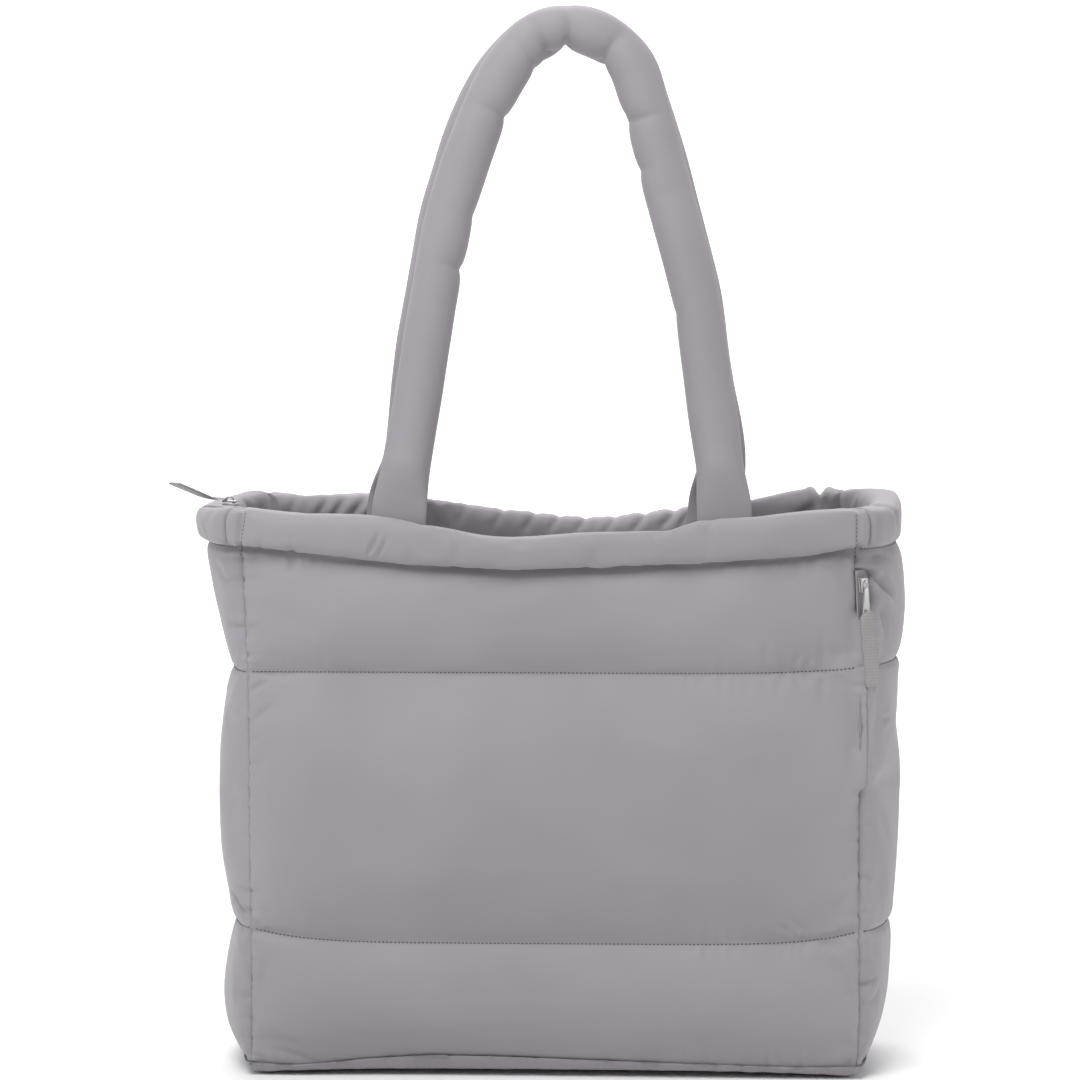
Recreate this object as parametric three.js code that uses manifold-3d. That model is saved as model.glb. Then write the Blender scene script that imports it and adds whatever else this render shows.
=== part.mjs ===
import * as THREE from 'three';
import { mergeVertices } from 'three/addons/utils/BufferGeometryUtils.js';
import Module from 'manifold-3d';

// Puffer tote bag, standing open on its base. Millimetres, +Z up, the front facing -Y.
// The origin is the middle of the underside.

// Driving dimensions of the body
const BODY_WIDTH = 378;         // left to right, between the corner seams
const BODY_DEPTH = 132;         // front to back, between the corner seams
const BODY_HEIGHT = 354;        // underside to the mouth's top edge at the corners
const SEAM_THICKNESS = 4;       // a padded wall where it is stitched through
const WALL_PUFF = 8;            // the widest channel swells this far out of the seam plane
const WALL_PUFF_INSIDE = 3;     // and this far into the bag
const LOWER_QUILT_HEIGHT = 84;
const LOWER_QUILT_LIFT = 9;     // this seam runs up by so much at both ends of the front and back
const UPPER_QUILT_HEIGHT = 252;
const UPPER_QUILT_LIFT = 5;     // and this one at the right end
const GUSSET_BOW = 30;          // the side walls bow out this far near the mouth
const BASE_THICKNESS = 10;      // padded base, in its middle
const BASE_SEAM_HEIGHT = 14;    // the base seam stands this high at its highest
const CLEARANCE = 0.3;          // between neighbouring pieces

// Driving dimensions of the roll round the mouth
const RIM_HEIGHT = 24;          // at the corners
const RIM_OUT = 9;              // its swelling outside the seam plane
const RIM_IN = 11;              // and inside it
const MOUTH_SAG = 16;           // the top edge hangs this much lower between the handles
const SEAM_SAG = 13.5;          // and the seam below the roll this much

// Driving dimensions of the handles
const TOTAL_HEIGHT = 661;       // underside to the top of the handles
const HANDLE_DIAMETER = 30;
const HANDLE_SPACING = 199;     // between the middles of the two legs, where they meet the rim
const TAB_WIDTH = 34;           // the flattened end that is sewn to the inside of the rim
const TAB_THICKNESS = 7;
const TAB_LENGTH = 20;

// Driving dimensions of the zips
const PULL_WIDTH = 9;           // webbing pulls
const PULL_LENGTH = 44;
const PULL_THICKNESS = 1.6;     // two layers of webbing
const TAPE_WIDTH = 12;
const TAPE_THICKNESS = 1.2;
const TAPE_TUCK = 1;            // the mouth tapes' upper edge reaches this far above the seam
const POCKET_ZIP_DROP = 38;     // from the mouth's top edge to the side zip's upper end
const POCKET_ZIP_LENGTH = 128;
const SLIDER_LENGTH = 9;
const SLIDER_WIDTH = 6.5;
const SLIDER_THICKNESS = 3;
const PULLER_LENGTH = 15;       // the side slider's metal puller, which the webbing is folded over
const PULLER_THICKNESS = 1.2;

// Facets
const ACROSS_STEPS = 18;        // front and back walls, left to right
const DEPTH_STEPS = 8;          // side walls, front to back
const RIM_SIDES = 12;
const HANDLE_SIDES = 12;
const HANDLE_STEPS = 56;
const TAPE_STEPS = 28;

// The three quilted channels of a wall, from the base seam up: steps of the mesh up the channel,
// and its swelling as a share of the full puff.
const CHANNELS = [
  { steps: 5, puff: 0.85 },
  { steps: 8, puff: 1 },
  { steps: 5, puff: 0.9 },
];

// Sag along the mouth, from the left corner (-1) to the right corner (1): the top edges as shares
// of MOUTH_SAG, the seam under the roll as a share of SEAM_SAG, and the height of the base seam as
// a share of BASE_SEAM_HEIGHT.
const MOUTH = [
  { across: -1, frontTop: 0, backTop: 0, seam: 0, base: 0.6 },
  { across: -0.84, frontTop: 0.23, backTop: 0.15, seam: 0.25, base: 0.5 },
  { across: -0.58, frontTop: 0.32, backTop: 0.2, seam: 0.68, base: 0.85 },
  { across: -0.4, frontTop: 0.6, backTop: 0.34, seam: 0.87, base: 0.98 },
  { across: -0.15, frontTop: 0.98, backTop: 0.64, seam: 1, base: 0.95 },
  { across: 0.13, frontTop: 0.88, backTop: 0.9, seam: 0.92, base: 0.82 },
  { across: 0.37, frontTop: 0.8, backTop: 0.64, seam: 0.8, base: 0.7 },
  { across: 0.5, frontTop: 0.44, backTop: 0.5, seam: 0.73, base: 0.65 },
  { across: 0.68, frontTop: 0.3, backTop: 0.3, seam: 0.58, base: 0.58 },
  { across: 0.84, frontTop: 0.11, backTop: -0.05, seam: 0.37, base: 0.55 },
  { across: 1, frontTop: 0, backTop: -0.1, seam: 0, base: 0.6 },
];

// How far the side walls bow out half-way along their depth, by height (a share of BODY_HEIGHT):
// left and right as shares of GUSSET_BOW. Sway moves the whole section, a share of GUSSET_BOW.
const SIDES = [
  { rise: 0.02, left: 0.2, right: 0.2, sway: 0 },
  { rise: 0.068, left: 0.6, right: 0.42, sway: 0.02 },
  { rise: 0.141, left: 0.7, right: 0.59, sway: 0.03 },
  { rise: 0.265, left: 0.47, right: 0.67, sway: 0.02 },
  { rise: 0.39, left: 0.65, right: 0.78, sway: 0 },
  { rise: 0.55, left: 0.66, right: 0.79, sway: 0 },
  { rise: 0.61, left: 0.6, right: 0.74, sway: 0 },
  { rise: 0.715, left: 0.44, right: 0.83, sway: -0.02 },
  { rise: 0.79, left: 0.62, right: 0.98, sway: -0.05 },
  { rise: 0.85, left: 0.76, right: 1.02, sway: -0.08 },
  { rise: 0.932, left: 0.84, right: 0.9, sway: -0.12 },
  { rise: 1, left: 0.5, right: 0.44, sway: -0.12 },
];

// Top edge of the side rolls from the front corner (-1) to the back corner (1), lifts as shares
// of MOUTH_SAG.
const SIDE_TOPS = [
  { across: -1, left: 0, right: 0 },
  { across: -0.6, left: -0.18, right: 0.05 },
  { across: 0, left: -0.3, right: 0.28 },
  { across: 0.6, left: -0.18, right: 0.25 },
  { across: 1, left: 0, right: 0.1 },
];

// Middle lines of the handles, from the rim (0) to the top of the arch (1): the distances of the
// legs from the middle of the bag as shares of half of HANDLE_SPACING, and how far the handle has
// leant from the rim's inner face (0) to the other handle (1).
const LEGS = [
  { rise: -0.085, frontLeft: 0.96, frontRight: 1.05, backLeft: 1.08, backRight: 0.98, lean: 0 },
  { rise: -0.02, frontLeft: 0.96, frontRight: 1.05, backLeft: 1.06, backRight: 0.99, lean: 0 },
  { rise: 0.08, frontLeft: 0.92, frontRight: 1.02, backLeft: 0.97, backRight: 1.015, lean: 0.28 },
  { rise: 0.235, frontLeft: 0.845, frontRight: 0.955, backLeft: 0.92, backRight: 0.955, lean: 0.44 },
  { rise: 0.44, frontLeft: 0.75, frontRight: 0.865, backLeft: 0.82, backRight: 0.88, lean: 0.6 },
  { rise: 0.64, frontLeft: 0.63, frontRight: 0.71, backLeft: 0.7, backRight: 0.73, lean: 0.76 },
  { rise: 0.84, frontLeft: 0.42, frontRight: 0.55, backLeft: 0.49, backRight: 0.56, lean: 0.91 },
  { rise: 0.925, frontLeft: 0.28, frontRight: 0.46, backLeft: 0.33, backRight: 0.46, lean: 0.97 },
  { rise: 0.985, frontLeft: 0.1, frontRight: 0.26, backLeft: 0.13, backRight: 0.26, lean: 1 },
];
const APEX_OFFSET = { front: 0.07, back: 0.05 };   // shares of HANDLE_SPACING / 2

// Creases across the inner side of a handle: place along its middle line, depth as a share of its
// radius, and half-width as a share of its diameter.
const HANDLE_CREASES = {
  front: [
    { place: 0.25, depth: 0.2, width: 0.3 },
    { place: 0.393, depth: 0.25, width: 0.3 },
    { place: 0.449, depth: 0.3, width: 0.3 },
    { place: 0.474, depth: 0.4, width: 0.3 },
    { place: 0.5, depth: 0.55, width: 0.35 },
    { place: 0.545, depth: 0.45, width: 0.35 },
    { place: 0.613, depth: 0.35, width: 0.35 },
    { place: 0.66, depth: 0.2, width: 0.3 },
  ],
  back: [
    { place: 0.35, depth: 0.25, width: 0.4 },
    { place: 0.45, depth: 0.5, width: 0.4 },
    { place: 0.5, depth: 0.55, width: 0.4 },
    { place: 0.555, depth: 0.45, width: 0.35 },
    { place: 0.63, depth: 0.3, width: 0.4 },
  ],
};

// Materials
const NYLON = { color: 0xa7a2a8, roughness: 0.62, metalness: 0 };
const WEBBING = { color: 0x9c989a, roughness: 0.8, metalness: 0 };
const TAPE = { color: 0x8f8b90, roughness: 0.85, metalness: 0 };
const SLIDER_METAL = { color: 0x9b989c, roughness: 0.35, metalness: 0.9 };

// Values worked out from the sizes above
const RIM_SEAM = BODY_HEIGHT - RIM_HEIGHT;
const POCKET_ZIP_TOP = BODY_HEIGHT - POCKET_ZIP_DROP;
const MITRE_GAP = CLEARANCE / Math.SQRT2;
const MITRE_SHARPNESS = 8;      // keeps the mitred ends close to the corners
const SLIDER_BAIL = 2.6;        // the loop on a slider that the pull runs through
const PULLER_HEIGHT = SLIDER_THICKNESS + SLIDER_BAIL * 0.5;

const wasm = await Module();
wasm.setup();

/** The value of one column of a table at a place, smoothly between its rows. */
function read(table, axis, column, place) {
  const last = table.length - 1;
  const at = Math.min(Math.max(place, table[0][axis]), table[last][axis]);
  let upper = 1;
  while (upper < last && table[upper][axis] < at) {
    upper += 1;
  }
  const lower = upper - 1;
  const slope = (from, to) => (table[to][column] - table[from][column])
    / (table[to][axis] - table[from][axis]);
  const span = table[upper][axis] - table[lower][axis];
  const start = slope(Math.max(lower - 1, 0), upper) * span;
  const end = slope(lower, Math.min(upper + 1, last)) * span;
  const t = (at - table[lower][axis]) / span;
  const rest = 1 - t;
  return table[lower][column] * rest * rest * (1 + 2 * t) + start * t * rest * rest
    + table[upper][column] * t * t * (3 - 2 * t) - end * t * t * rest;
}

/** A power that keeps the sign of its base. */
function signedPower(base, power) {
  return Math.sign(base) * Math.abs(base) ** power;
}

/** Moves each vertex of a geometry by a rule and keeps the faces pointing out. */
function formed(geometry, rule) {
  geometry.deleteAttribute('normal');
  geometry.deleteAttribute('uv');
  const merged = mergeVertices(geometry, 1e-6);
  const position = merged.getAttribute('position');
  const vertex = new THREE.Vector3();
  for (let i = 0; i < position.count; i += 1) {
    const moved = rule(vertex.fromBufferAttribute(position, i));
    position.setXYZ(i, moved.x, moved.y, moved.z);
  }
  if (volume(merged) < 0) {
    const index = merged.getIndex();
    for (let i = 0; i < index.count; i += 3) {
      const second = index.getX(i + 1);
      index.setX(i + 1, index.getX(i + 2));
      index.setX(i + 2, second);
    }
  }
  merged.computeVertexNormals();
  return merged;
}

/** Signed volume of a closed indexed geometry. */
function volume(geometry) {
  const position = geometry.getAttribute('position');
  const index = geometry.getIndex();
  const corners = [new THREE.Vector3(), new THREE.Vector3(), new THREE.Vector3()];
  let total = 0;
  for (let i = 0; i < index.count; i += 3) {
    corners.forEach((corner, k) => corner.fromBufferAttribute(position, index.getX(i + k)));
    total += corners[0].dot(corners[1].clone().cross(corners[2])) / 6;
  }
  return total;
}

/** A closed geometry as a solid that can be joined or cut. */
function solid(geometry) {
  geometry.deleteAttribute('normal');
  geometry.deleteAttribute('uv');
  const merged = mergeVertices(geometry, 1e-5);
  return new wasm.Manifold(new wasm.Mesh({
    numProp: 3,
    vertProperties: new Float32Array(merged.getAttribute('position').array),
    triVerts: new Uint32Array(merged.getIndex().array),
  }));
}

/** A solid's surface as a geometry. */
function surface(body) {
  const mesh = body.getMesh();
  const geometry = new THREE.BufferGeometry();
  geometry.setAttribute('position', new THREE.BufferAttribute(mesh.vertProperties, 3));
  geometry.setIndex(new THREE.BufferAttribute(mesh.triVerts, 1));
  geometry.computeVertexNormals();
  return geometry;
}

const bag = new THREE.Group();
bag.name = 'puffer_tote_bag';

function add(name, geometry, look, parent = bag) {
  const mesh = new THREE.Mesh(geometry, new THREE.MeshStandardMaterial(look));
  mesh.name = name;
  parent.add(mesh);
  return mesh;
}

// The four walls. A point of a wall is given by its place across the wall (-1 to 1, between the
// corner seams), its distance out of the seam plane, and its height.
const WALLS = {
  front: { alongX: true, outward: -1 },
  back: { alongX: true, outward: 1 },
  left: { alongX: false, outward: -1 },
  right: { alongX: false, outward: 1 },
};

function swayAt(height) {
  return GUSSET_BOW * read(SIDES, 'rise', 'sway', height / BODY_HEIGHT);
}

function wallPoint(wall, across, out, height) {
  const half = (wall.alongX ? BODY_WIDTH : BODY_DEPTH) / 2;
  const plane = (wall.alongX ? BODY_DEPTH : BODY_WIDTH) / 2;
  const mitre = signedPower(across, MITRE_SHARPNESS) * (out - MITRE_GAP);
  const along = across * half + mitre;
  const away = wall.outward * (plane + out);
  return wall.alongX
    ? new THREE.Vector3(along + swayAt(height), away, height)
    : new THREE.Vector3(away + swayAt(height), along, height);
}

/** How far a side wall bows out of its seam plane, which is nothing at the corners. */
function bowAt(side, across, height) {
  const middle = GUSSET_BOW * read(SIDES, 'rise', side, height / BODY_HEIGHT);
  return middle * (1 - Math.abs(across) ** 2.4) ** 0.75;
}

/** Heights of the four level seams of a wall at a place across it. */
function levelsAt(side, across) {
  const corner = { left: -1, right: 1 }[side] ?? across;
  return [
    BASE_SEAM_HEIGHT * read(MOUTH, 'across', 'base', corner) + CLEARANCE / 2,
    LOWER_QUILT_HEIGHT + LOWER_QUILT_LIFT * corner ** 6,
    UPPER_QUILT_HEIGHT + UPPER_QUILT_LIFT * Math.max(corner, 0) ** 6,
    RIM_SEAM - SEAM_SAG * read(MOUTH, 'across', 'seam', corner) - CLEARANCE / 2,
  ];
}

/** Swelling of a wall at a height, as shares of the full puff. */
function swellAt(side, across, height) {
  const levels = levelsAt(side, across);
  const channel = CHANNELS.findIndex((row, k) => height <= levels[k + 1]);
  if (channel < 0) {
    return 0;
  }
  const t = Math.max((height - levels[channel]) / (levels[channel + 1] - levels[channel]), 0);
  const edge = Math.sqrt(1 - Math.min(Math.abs(across), 1) ** 6);
  return CHANNELS[channel].puff * Math.sin(Math.PI * Math.min(t, 1)) ** 0.6 * edge;
}

/** Distances of a wall's outer and inner faces out of the seam plane. */
function facesAt(side, across, height) {
  const swell = swellAt(side, across, height);
  const inner = -SEAM_THICKNESS - WALL_PUFF_INSIDE * swell;
  if (WALLS[side].alongX) {
    return { outer: WALL_PUFF * swell, inner };
  }
  const bow = bowAt(side, across, height);
  return { outer: bow, inner: inner + bow };
}

/** A padded wall between its corner seams, the base seam and the seam under the roll. */
function paddedWall(side) {
  const wall = WALLS[side];
  const steps = wall.alongX ? ACROSS_STEPS : DEPTH_STEPS;
  const rows = CHANNELS.reduce((sum, channel) => sum + channel.steps, 0);
  const box = wall.alongX
    ? new THREE.BoxGeometry(2, 2, rows, steps, 1, rows)
    : new THREE.BoxGeometry(2, 2, rows, 1, steps, rows);
  return formed(box, (vertex) => {
    const across = wall.alongX ? vertex.x : vertex.y;
    const isOuter = (wall.alongX ? vertex.y : vertex.x) * wall.outward > 0;
    const levels = levelsAt(side, across);
    let row = Math.round(vertex.z + rows / 2);
    let channel = 0;
    while (channel < CHANNELS.length - 1 && row > CHANNELS[channel].steps) {
      row -= CHANNELS[channel].steps;
      channel += 1;
    }
    const t = row / CHANNELS[channel].steps;
    const height = levels[channel] + (levels[channel + 1] - levels[channel]) * t;
    const faces = facesAt(side, across, height);
    return wallPoint(wall, across, isOuter ? faces.outer : faces.inner, height);
  });
}

/** One length of the padded roll round the mouth, between two corner seams. */
function rimRoll(side) {
  const wall = WALLS[side];
  const steps = wall.alongX ? ACROSS_STEPS : DEPTH_STEPS;
  const round = new THREE.CylinderGeometry(1, 1, 2, RIM_SIDES, steps);
  return formed(round, (vertex) => {
    const across = vertex.y;
    const seam = levelsAt(side, across)[CHANNELS.length] + CLEARANCE;
    const top = wall.alongX
      ? BODY_HEIGHT - MOUTH_SAG * read(MOUTH, 'across', `${side}Top`, across)
      : BODY_HEIGHT + MOUTH_SAG * read(SIDE_TOPS, 'across', side, across);
    const middle = (seam + top) / 2;
    const bow = wall.alongX ? 0 : bowAt(side, across, middle);
    const pinch = 1 - 0.2 * across ** 6;
    const out = bow + pinch * (vertex.x > 0
      ? RIM_OUT * signedPower(vertex.x, 0.6)
      : RIM_IN * signedPower(vertex.x, 0.6));
    const height = middle + signedPower(vertex.z, 0.85) * (top - seam) / 2;
    return wallPoint(wall, across, out, height);
  });
}

/** The padded base: flat underneath, curving up at its edge to the base seam. */
function basePad() {
  const edgeShare = 0.12;
  const box = new THREE.BoxGeometry(2, 2, 2, ACROSS_STEPS, DEPTH_STEPS, 1);
  return formed(box, (vertex) => {
    const isTop = vertex.z > 0;
    const onEdge = Math.max(Math.abs(vertex.x), Math.abs(vertex.y)) > 1 - 1e-6;
    const nearEdge = Math.max(Math.abs(vertex.x) ** 8, Math.abs(vertex.y) ** 4);
    const seam = BASE_SEAM_HEIGHT * read(MOUTH, 'across', 'base', vertex.x) - CLEARANCE / 2;
    const side = vertex.x < 0 ? 'left' : 'right';
    const bow = bowAt(side, vertex.y, seam) * Math.abs(vertex.x) ** MITRE_SHARPNESS;
    const x = vertex.x * BODY_WIDTH / 2 + Math.sign(vertex.x) * bow + swayAt(seam);
    const y = vertex.y * BODY_DEPTH / 2;
    if (isTop) {
      const top = THREE.MathUtils.lerp(BASE_THICKNESS, seam, nearEdge);
      return new THREE.Vector3(x, y, Math.min(top, seam));
    }
    const corner = Math.abs(vertex.x * vertex.y) ** 4 * edgeShare;
    const under = onEdge ? seam - SEAM_THICKNESS : 0;
    return new THREE.Vector3(x * (1 - corner / 4), y * (1 - corner), Math.max(under, 0));
  });
}

add('front_panel', paddedWall('front'), NYLON);
add('back_panel', paddedWall('back'), NYLON);
add('left_gusset', paddedWall('left'), NYLON);
add('right_gusset', paddedWall('right'), NYLON);
add('base_panel', basePad(), NYLON);
add('rim_front', rimRoll('front'), NYLON);
add('rim_back', rimRoll('back'), NYLON);
add('rim_left', rimRoll('left'), NYLON);
add('rim_right', rimRoll('right'), NYLON);

// The handles: padded tubes whose flattened ends lie against the inner face of the rim.
const ARCH_RISE = TOTAL_HEIGHT - HANDLE_DIAMETER / 2 - BODY_HEIGHT;
const RIM_INNER_FACE = BODY_DEPTH / 2 - RIM_IN;

function handleCurve(side) {
  const outward = WALLS[side].outward;
  const atRim = RIM_INNER_FACE - CLEARANCE - TAB_THICKNESS / 2;
  const atTop = HANDLE_DIAMETER / 2 + CLEARANCE;
  const point = (row, share) => new THREE.Vector3(
    share * HANDLE_SPACING / 2,
    outward * THREE.MathUtils.lerp(atRim, atTop, row.lean),
    BODY_HEIGHT + ARCH_RISE * row.rise,
  );
  const left = LEGS.map((row) => point(row, -row[`${side}Left`]));
  const right = LEGS.map((row) => point(row, row[`${side}Right`]));
  const apex = point({ rise: 1, lean: 1 }, APEX_OFFSET[side]);
  return new THREE.CatmullRomCurve3([...left, apex, ...right.reverse()], false, 'centripetal');
}

function paddedHandle(side) {
  const curve = handleCurve(side);
  const length = curve.getLength();
  const facing = new THREE.Vector3(0, -1, 0);
  const tube = new THREE.CylinderGeometry(1, 1, 1, HANDLE_SIDES, HANDLE_STEPS);
  return formed(tube, (vertex) => {
    const share = vertex.y + 0.5;
    const fromEnd = Math.min(share, 1 - share) * length;
    const tab = 1 - THREE.MathUtils.smoothstep(fromEnd, TAB_LENGTH, TAB_LENGTH * 2.6);
    const width = THREE.MathUtils.lerp(HANDLE_DIAMETER, TAB_WIDTH, tab) / 2;
    const depth = THREE.MathUtils.lerp(HANDLE_DIAMETER, TAB_THICKNESS, tab) / 2;
    const crease = HANDLE_CREASES[side].reduce((sum, { place, depth: cut, width: spread }) => {
      const distance = (share - place) * length / (spread * HANDLE_DIAMETER);
      return sum + cut * Math.exp(-distance * distance);
    }, 0);
    const along = curve.getTangentAt(share);
    const inward = along.clone().cross(facing).normalize();
    const sideways = along.clone().cross(inward).normalize();
    const cut = vertex.x > 0 ? 1 - crease * vertex.x : 1;
    return curve.getPointAt(share)
      .addScaledVector(inward, vertex.x * width * cut)
      .addScaledVector(sideways, vertex.z * depth);
  });
}

add('handle_front', paddedHandle('front'), NYLON);
add('handle_back', paddedHandle('back'), NYLON);

// The open mouth zip. Its two tapes start at the right corners, run along the inside of the walls
// just under the roll, and come together at the left, where the slider is parked on the roll.
const MEETING_HALF_GAP = CLEARANCE / 2 + TAPE_THICKNESS / 2;
const LEFT_BOW = bowAt('left', 0, BODY_HEIGHT - RIM_HEIGHT / 2);
const LEFT_ROLL_INNER = -BODY_WIDTH / 2 - LEFT_BOW + RIM_IN + swayAt(BODY_HEIGHT);
const LEFT_ROLL_TOP = BODY_HEIGHT + MOUTH_SAG * read(SIDE_TOPS, 'across', 'left', 0);

function topTapeCurve(side) {
  const wall = WALLS[side];
  const along = [0.88, 0.7, 0.5, 0.3, 0.1, -0.1, -0.3, -0.5, -0.68, -0.8];
  const out = SEAM_THICKNESS + WALL_PUFF_INSIDE + CLEARANCE + TAPE_THICKNESS / 2;
  const points = along.map((across) => {
    const top = levelsAt(side, across)[CHANNELS.length] + TAPE_TUCK;
    return wallPoint(wall, across, -out, top - TAPE_WIDTH / 2);
  });
  // from the wall to the middle of the mouth: shares of the way across half the depth, and up
  const turn = [
    { inwards: 0.4, leftwards: 0.45, up: 0.25 },
    { inwards: 0.8, leftwards: 0.72, up: 0.55 },
  ];
  const from = points[points.length - 1];
  const to = new THREE.Vector3(
    LEFT_ROLL_INNER + 2 * TAPE_THICKNESS,
    wall.outward * MEETING_HALF_GAP,
    LEFT_ROLL_TOP - TAPE_WIDTH / 2 - CLEARANCE,
  );
  turn.forEach(({ inwards, leftwards, up }) => points.push(new THREE.Vector3(
    THREE.MathUtils.lerp(from.x, to.x, leftwards),
    THREE.MathUtils.lerp(from.y, to.y, inwards),
    THREE.MathUtils.lerp(from.z, to.z, up),
  )));
  points.push(new THREE.Vector3(to.x + SLIDER_LENGTH, to.y, to.z - TAPE_THICKNESS));
  points.push(to);
  return new THREE.CatmullRomCurve3(points, false, 'centripetal');
}

function topTape(side) {
  const curve = topTapeCurve(side);
  const upright = new THREE.Vector3(0, 0, 1);
  const band = new THREE.BoxGeometry(1, TAPE_THICKNESS, TAPE_WIDTH, TAPE_STEPS, 1, 1);
  return formed(band, (vertex) => {
    const share = vertex.x + 0.5;
    const sideways = curve.getTangentAt(share).cross(upright).normalize();
    return curve.getPointAt(share)
      .addScaledVector(sideways, vertex.y)
      .addScaledVector(upright, vertex.z);
  });
}

add('top_zip_tape_front', topTape('front'), TAPE);
add('top_zip_tape_back', topTape('back'), TAPE);

/**
 * A zip slider with the loop that carries its pull, lying in XY, its nose towards +X. A slider with
 * a metal puller has a plate that widens from the loop towards -X.
 */
function sliderBody(pullerLength = 0) {
  const half = SLIDER_WIDTH / 2;
  const outline = new THREE.Shape();
  outline.moveTo(-SLIDER_LENGTH / 2, -half * 0.62);
  outline.lineTo(SLIDER_LENGTH * 0.1, -half);
  outline.quadraticCurveTo(SLIDER_LENGTH / 2, -half, SLIDER_LENGTH / 2, 0);
  outline.quadraticCurveTo(SLIDER_LENGTH / 2, half, SLIDER_LENGTH * 0.1, half);
  outline.lineTo(-SLIDER_LENGTH / 2, half * 0.62);
  outline.closePath();
  const plate = new THREE.ExtrudeGeometry(outline, {
    depth: SLIDER_THICKNESS, bevelEnabled: false, curveSegments: 4,
  });
  const arch = new THREE.Shape();
  arch.moveTo(-SLIDER_BAIL, 0);
  arch.absarc(0, SLIDER_BAIL * 0.4, SLIDER_BAIL, Math.PI, 0, true);
  arch.lineTo(SLIDER_BAIL, 0);
  arch.closePath();
  const bail = new THREE.ExtrudeGeometry(arch, {
    depth: SLIDER_WIDTH * 0.3, bevelEnabled: false, curveSegments: 5,
  });
  bail.rotateX(Math.PI / 2);
  bail.translate(0, SLIDER_WIDTH * 0.15, SLIDER_THICKNESS - 0.2);
  const eye = new THREE.CylinderGeometry(SLIDER_BAIL * 0.42, SLIDER_BAIL * 0.42, SLIDER_WIDTH, 8);
  eye.translate(0, 0, SLIDER_THICKNESS + SLIDER_BAIL * 0.5);
  const body = solid(plate).add(solid(bail)).subtract(solid(eye));
  if (pullerLength === 0) {
    return surface(body);
  }
  const wide = PULL_WIDTH * 0.42;
  const narrow = SLIDER_BAIL * 0.5;
  const taper = new THREE.Shape();
  taper.moveTo(-SLIDER_BAIL * 0.8, -narrow);
  taper.lineTo(-SLIDER_BAIL * 0.8, narrow);
  taper.lineTo(-SLIDER_BAIL - pullerLength, wide);
  taper.lineTo(-SLIDER_BAIL - pullerLength, -wide);
  taper.closePath();
  const puller = new THREE.ExtrudeGeometry(taper, { depth: PULLER_THICKNESS, bevelEnabled: false });
  puller.translate(0, 0, PULLER_HEIGHT - PULLER_THICKNESS / 2);
  return surface(body.add(solid(puller)));
}

/** A folded webbing pull along a curve, its flat side facing a given way. */
function webbingPull(curve, facing) {
  const steps = 10;
  const strip = new THREE.BoxGeometry(1, PULL_WIDTH, PULL_THICKNESS, steps, 2, 1);
  return formed(strip, (vertex) => {
    const share = vertex.x + 0.5;
    const across = curve.getTangentAt(share).cross(facing).normalize();
    const normal = across.clone().cross(curve.getTangentAt(share)).normalize();
    return curve.getPointAt(share)
      .addScaledVector(across, vertex.y)
      .addScaledVector(normal, vertex.z);
  });
}

// The mouth zip's slider lies on the left roll, and its pull sticks out past the bag's left side.
const topSlider = add('top_zip_slider', sliderBody(), SLIDER_METAL);
topSlider.position.set(LEFT_ROLL_INNER - SLIDER_LENGTH * 0.35, 0, LEFT_ROLL_TOP + CLEARANCE);

const topPullStart = new THREE.Vector3(
  topSlider.position.x - SLIDER_BAIL - 2 * CLEARANCE,
  0,
  topSlider.position.z + SLIDER_THICKNESS + PULL_THICKNESS / 2 + CLEARANCE,
);
const topPullPath = [
  { leftwards: 0, forwards: 0, up: 0 },
  { leftwards: 0.2, forwards: 0.04, up: 0.01 },
  { leftwards: 0.48, forwards: 0.24, up: 0.125 },
  { leftwards: 0.76, forwards: 0.48, up: 0.255 },
].map(({ leftwards, forwards, up }) => topPullStart.clone().add(
  new THREE.Vector3(-leftwards, -forwards, up).multiplyScalar(PULL_LENGTH),
));
add('top_zip_pull', webbingPull(
  new THREE.CatmullRomCurve3(topPullPath), new THREE.Vector3(0, 0, 1),
), WEBBING);

// The pocket zip lies in the valley of the front right corner seam.
const CORNER_OUT = new THREE.Vector3(1, -1, 0).normalize();

function cornerPoint(out, height) {
  return new THREE.Vector3(BODY_WIDTH / 2 + swayAt(height), -BODY_DEPTH / 2, height)
    .addScaledVector(CORNER_OUT, out);
}

function pocketTape() {
  const width = TAPE_WIDTH * 0.55;
  const rows = 12;
  const strip = new THREE.BoxGeometry(width, TAPE_THICKNESS, POCKET_ZIP_LENGTH, 1, 1, rows);
  const across = new THREE.Vector3(1, 1, 0).normalize();
  return formed(strip, (vertex) => {
    const height = POCKET_ZIP_TOP - POCKET_ZIP_LENGTH / 2 + vertex.z;
    const out = CLEARANCE + TAPE_THICKNESS / 2 - vertex.y;
    return cornerPoint(out, height).addScaledVector(across, vertex.x);
  });
}

add('pocket_zip_tape', pocketTape(), TAPE);

const pocketSlider = new THREE.Group();
pocketSlider.position.copy(cornerPoint(
  2 * CLEARANCE + TAPE_THICKNESS, POCKET_ZIP_TOP - SLIDER_LENGTH,
));
pocketSlider.quaternion.setFromRotationMatrix(new THREE.Matrix4().makeBasis(
  new THREE.Vector3(0, 0, 1),
  new THREE.Vector3(-1, -1, 0).normalize(),
  CORNER_OUT,
));
bag.add(pocketSlider);
add('pocket_zip_slider', sliderBody(PULLER_LENGTH), SLIDER_METAL, pocketSlider);

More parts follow.
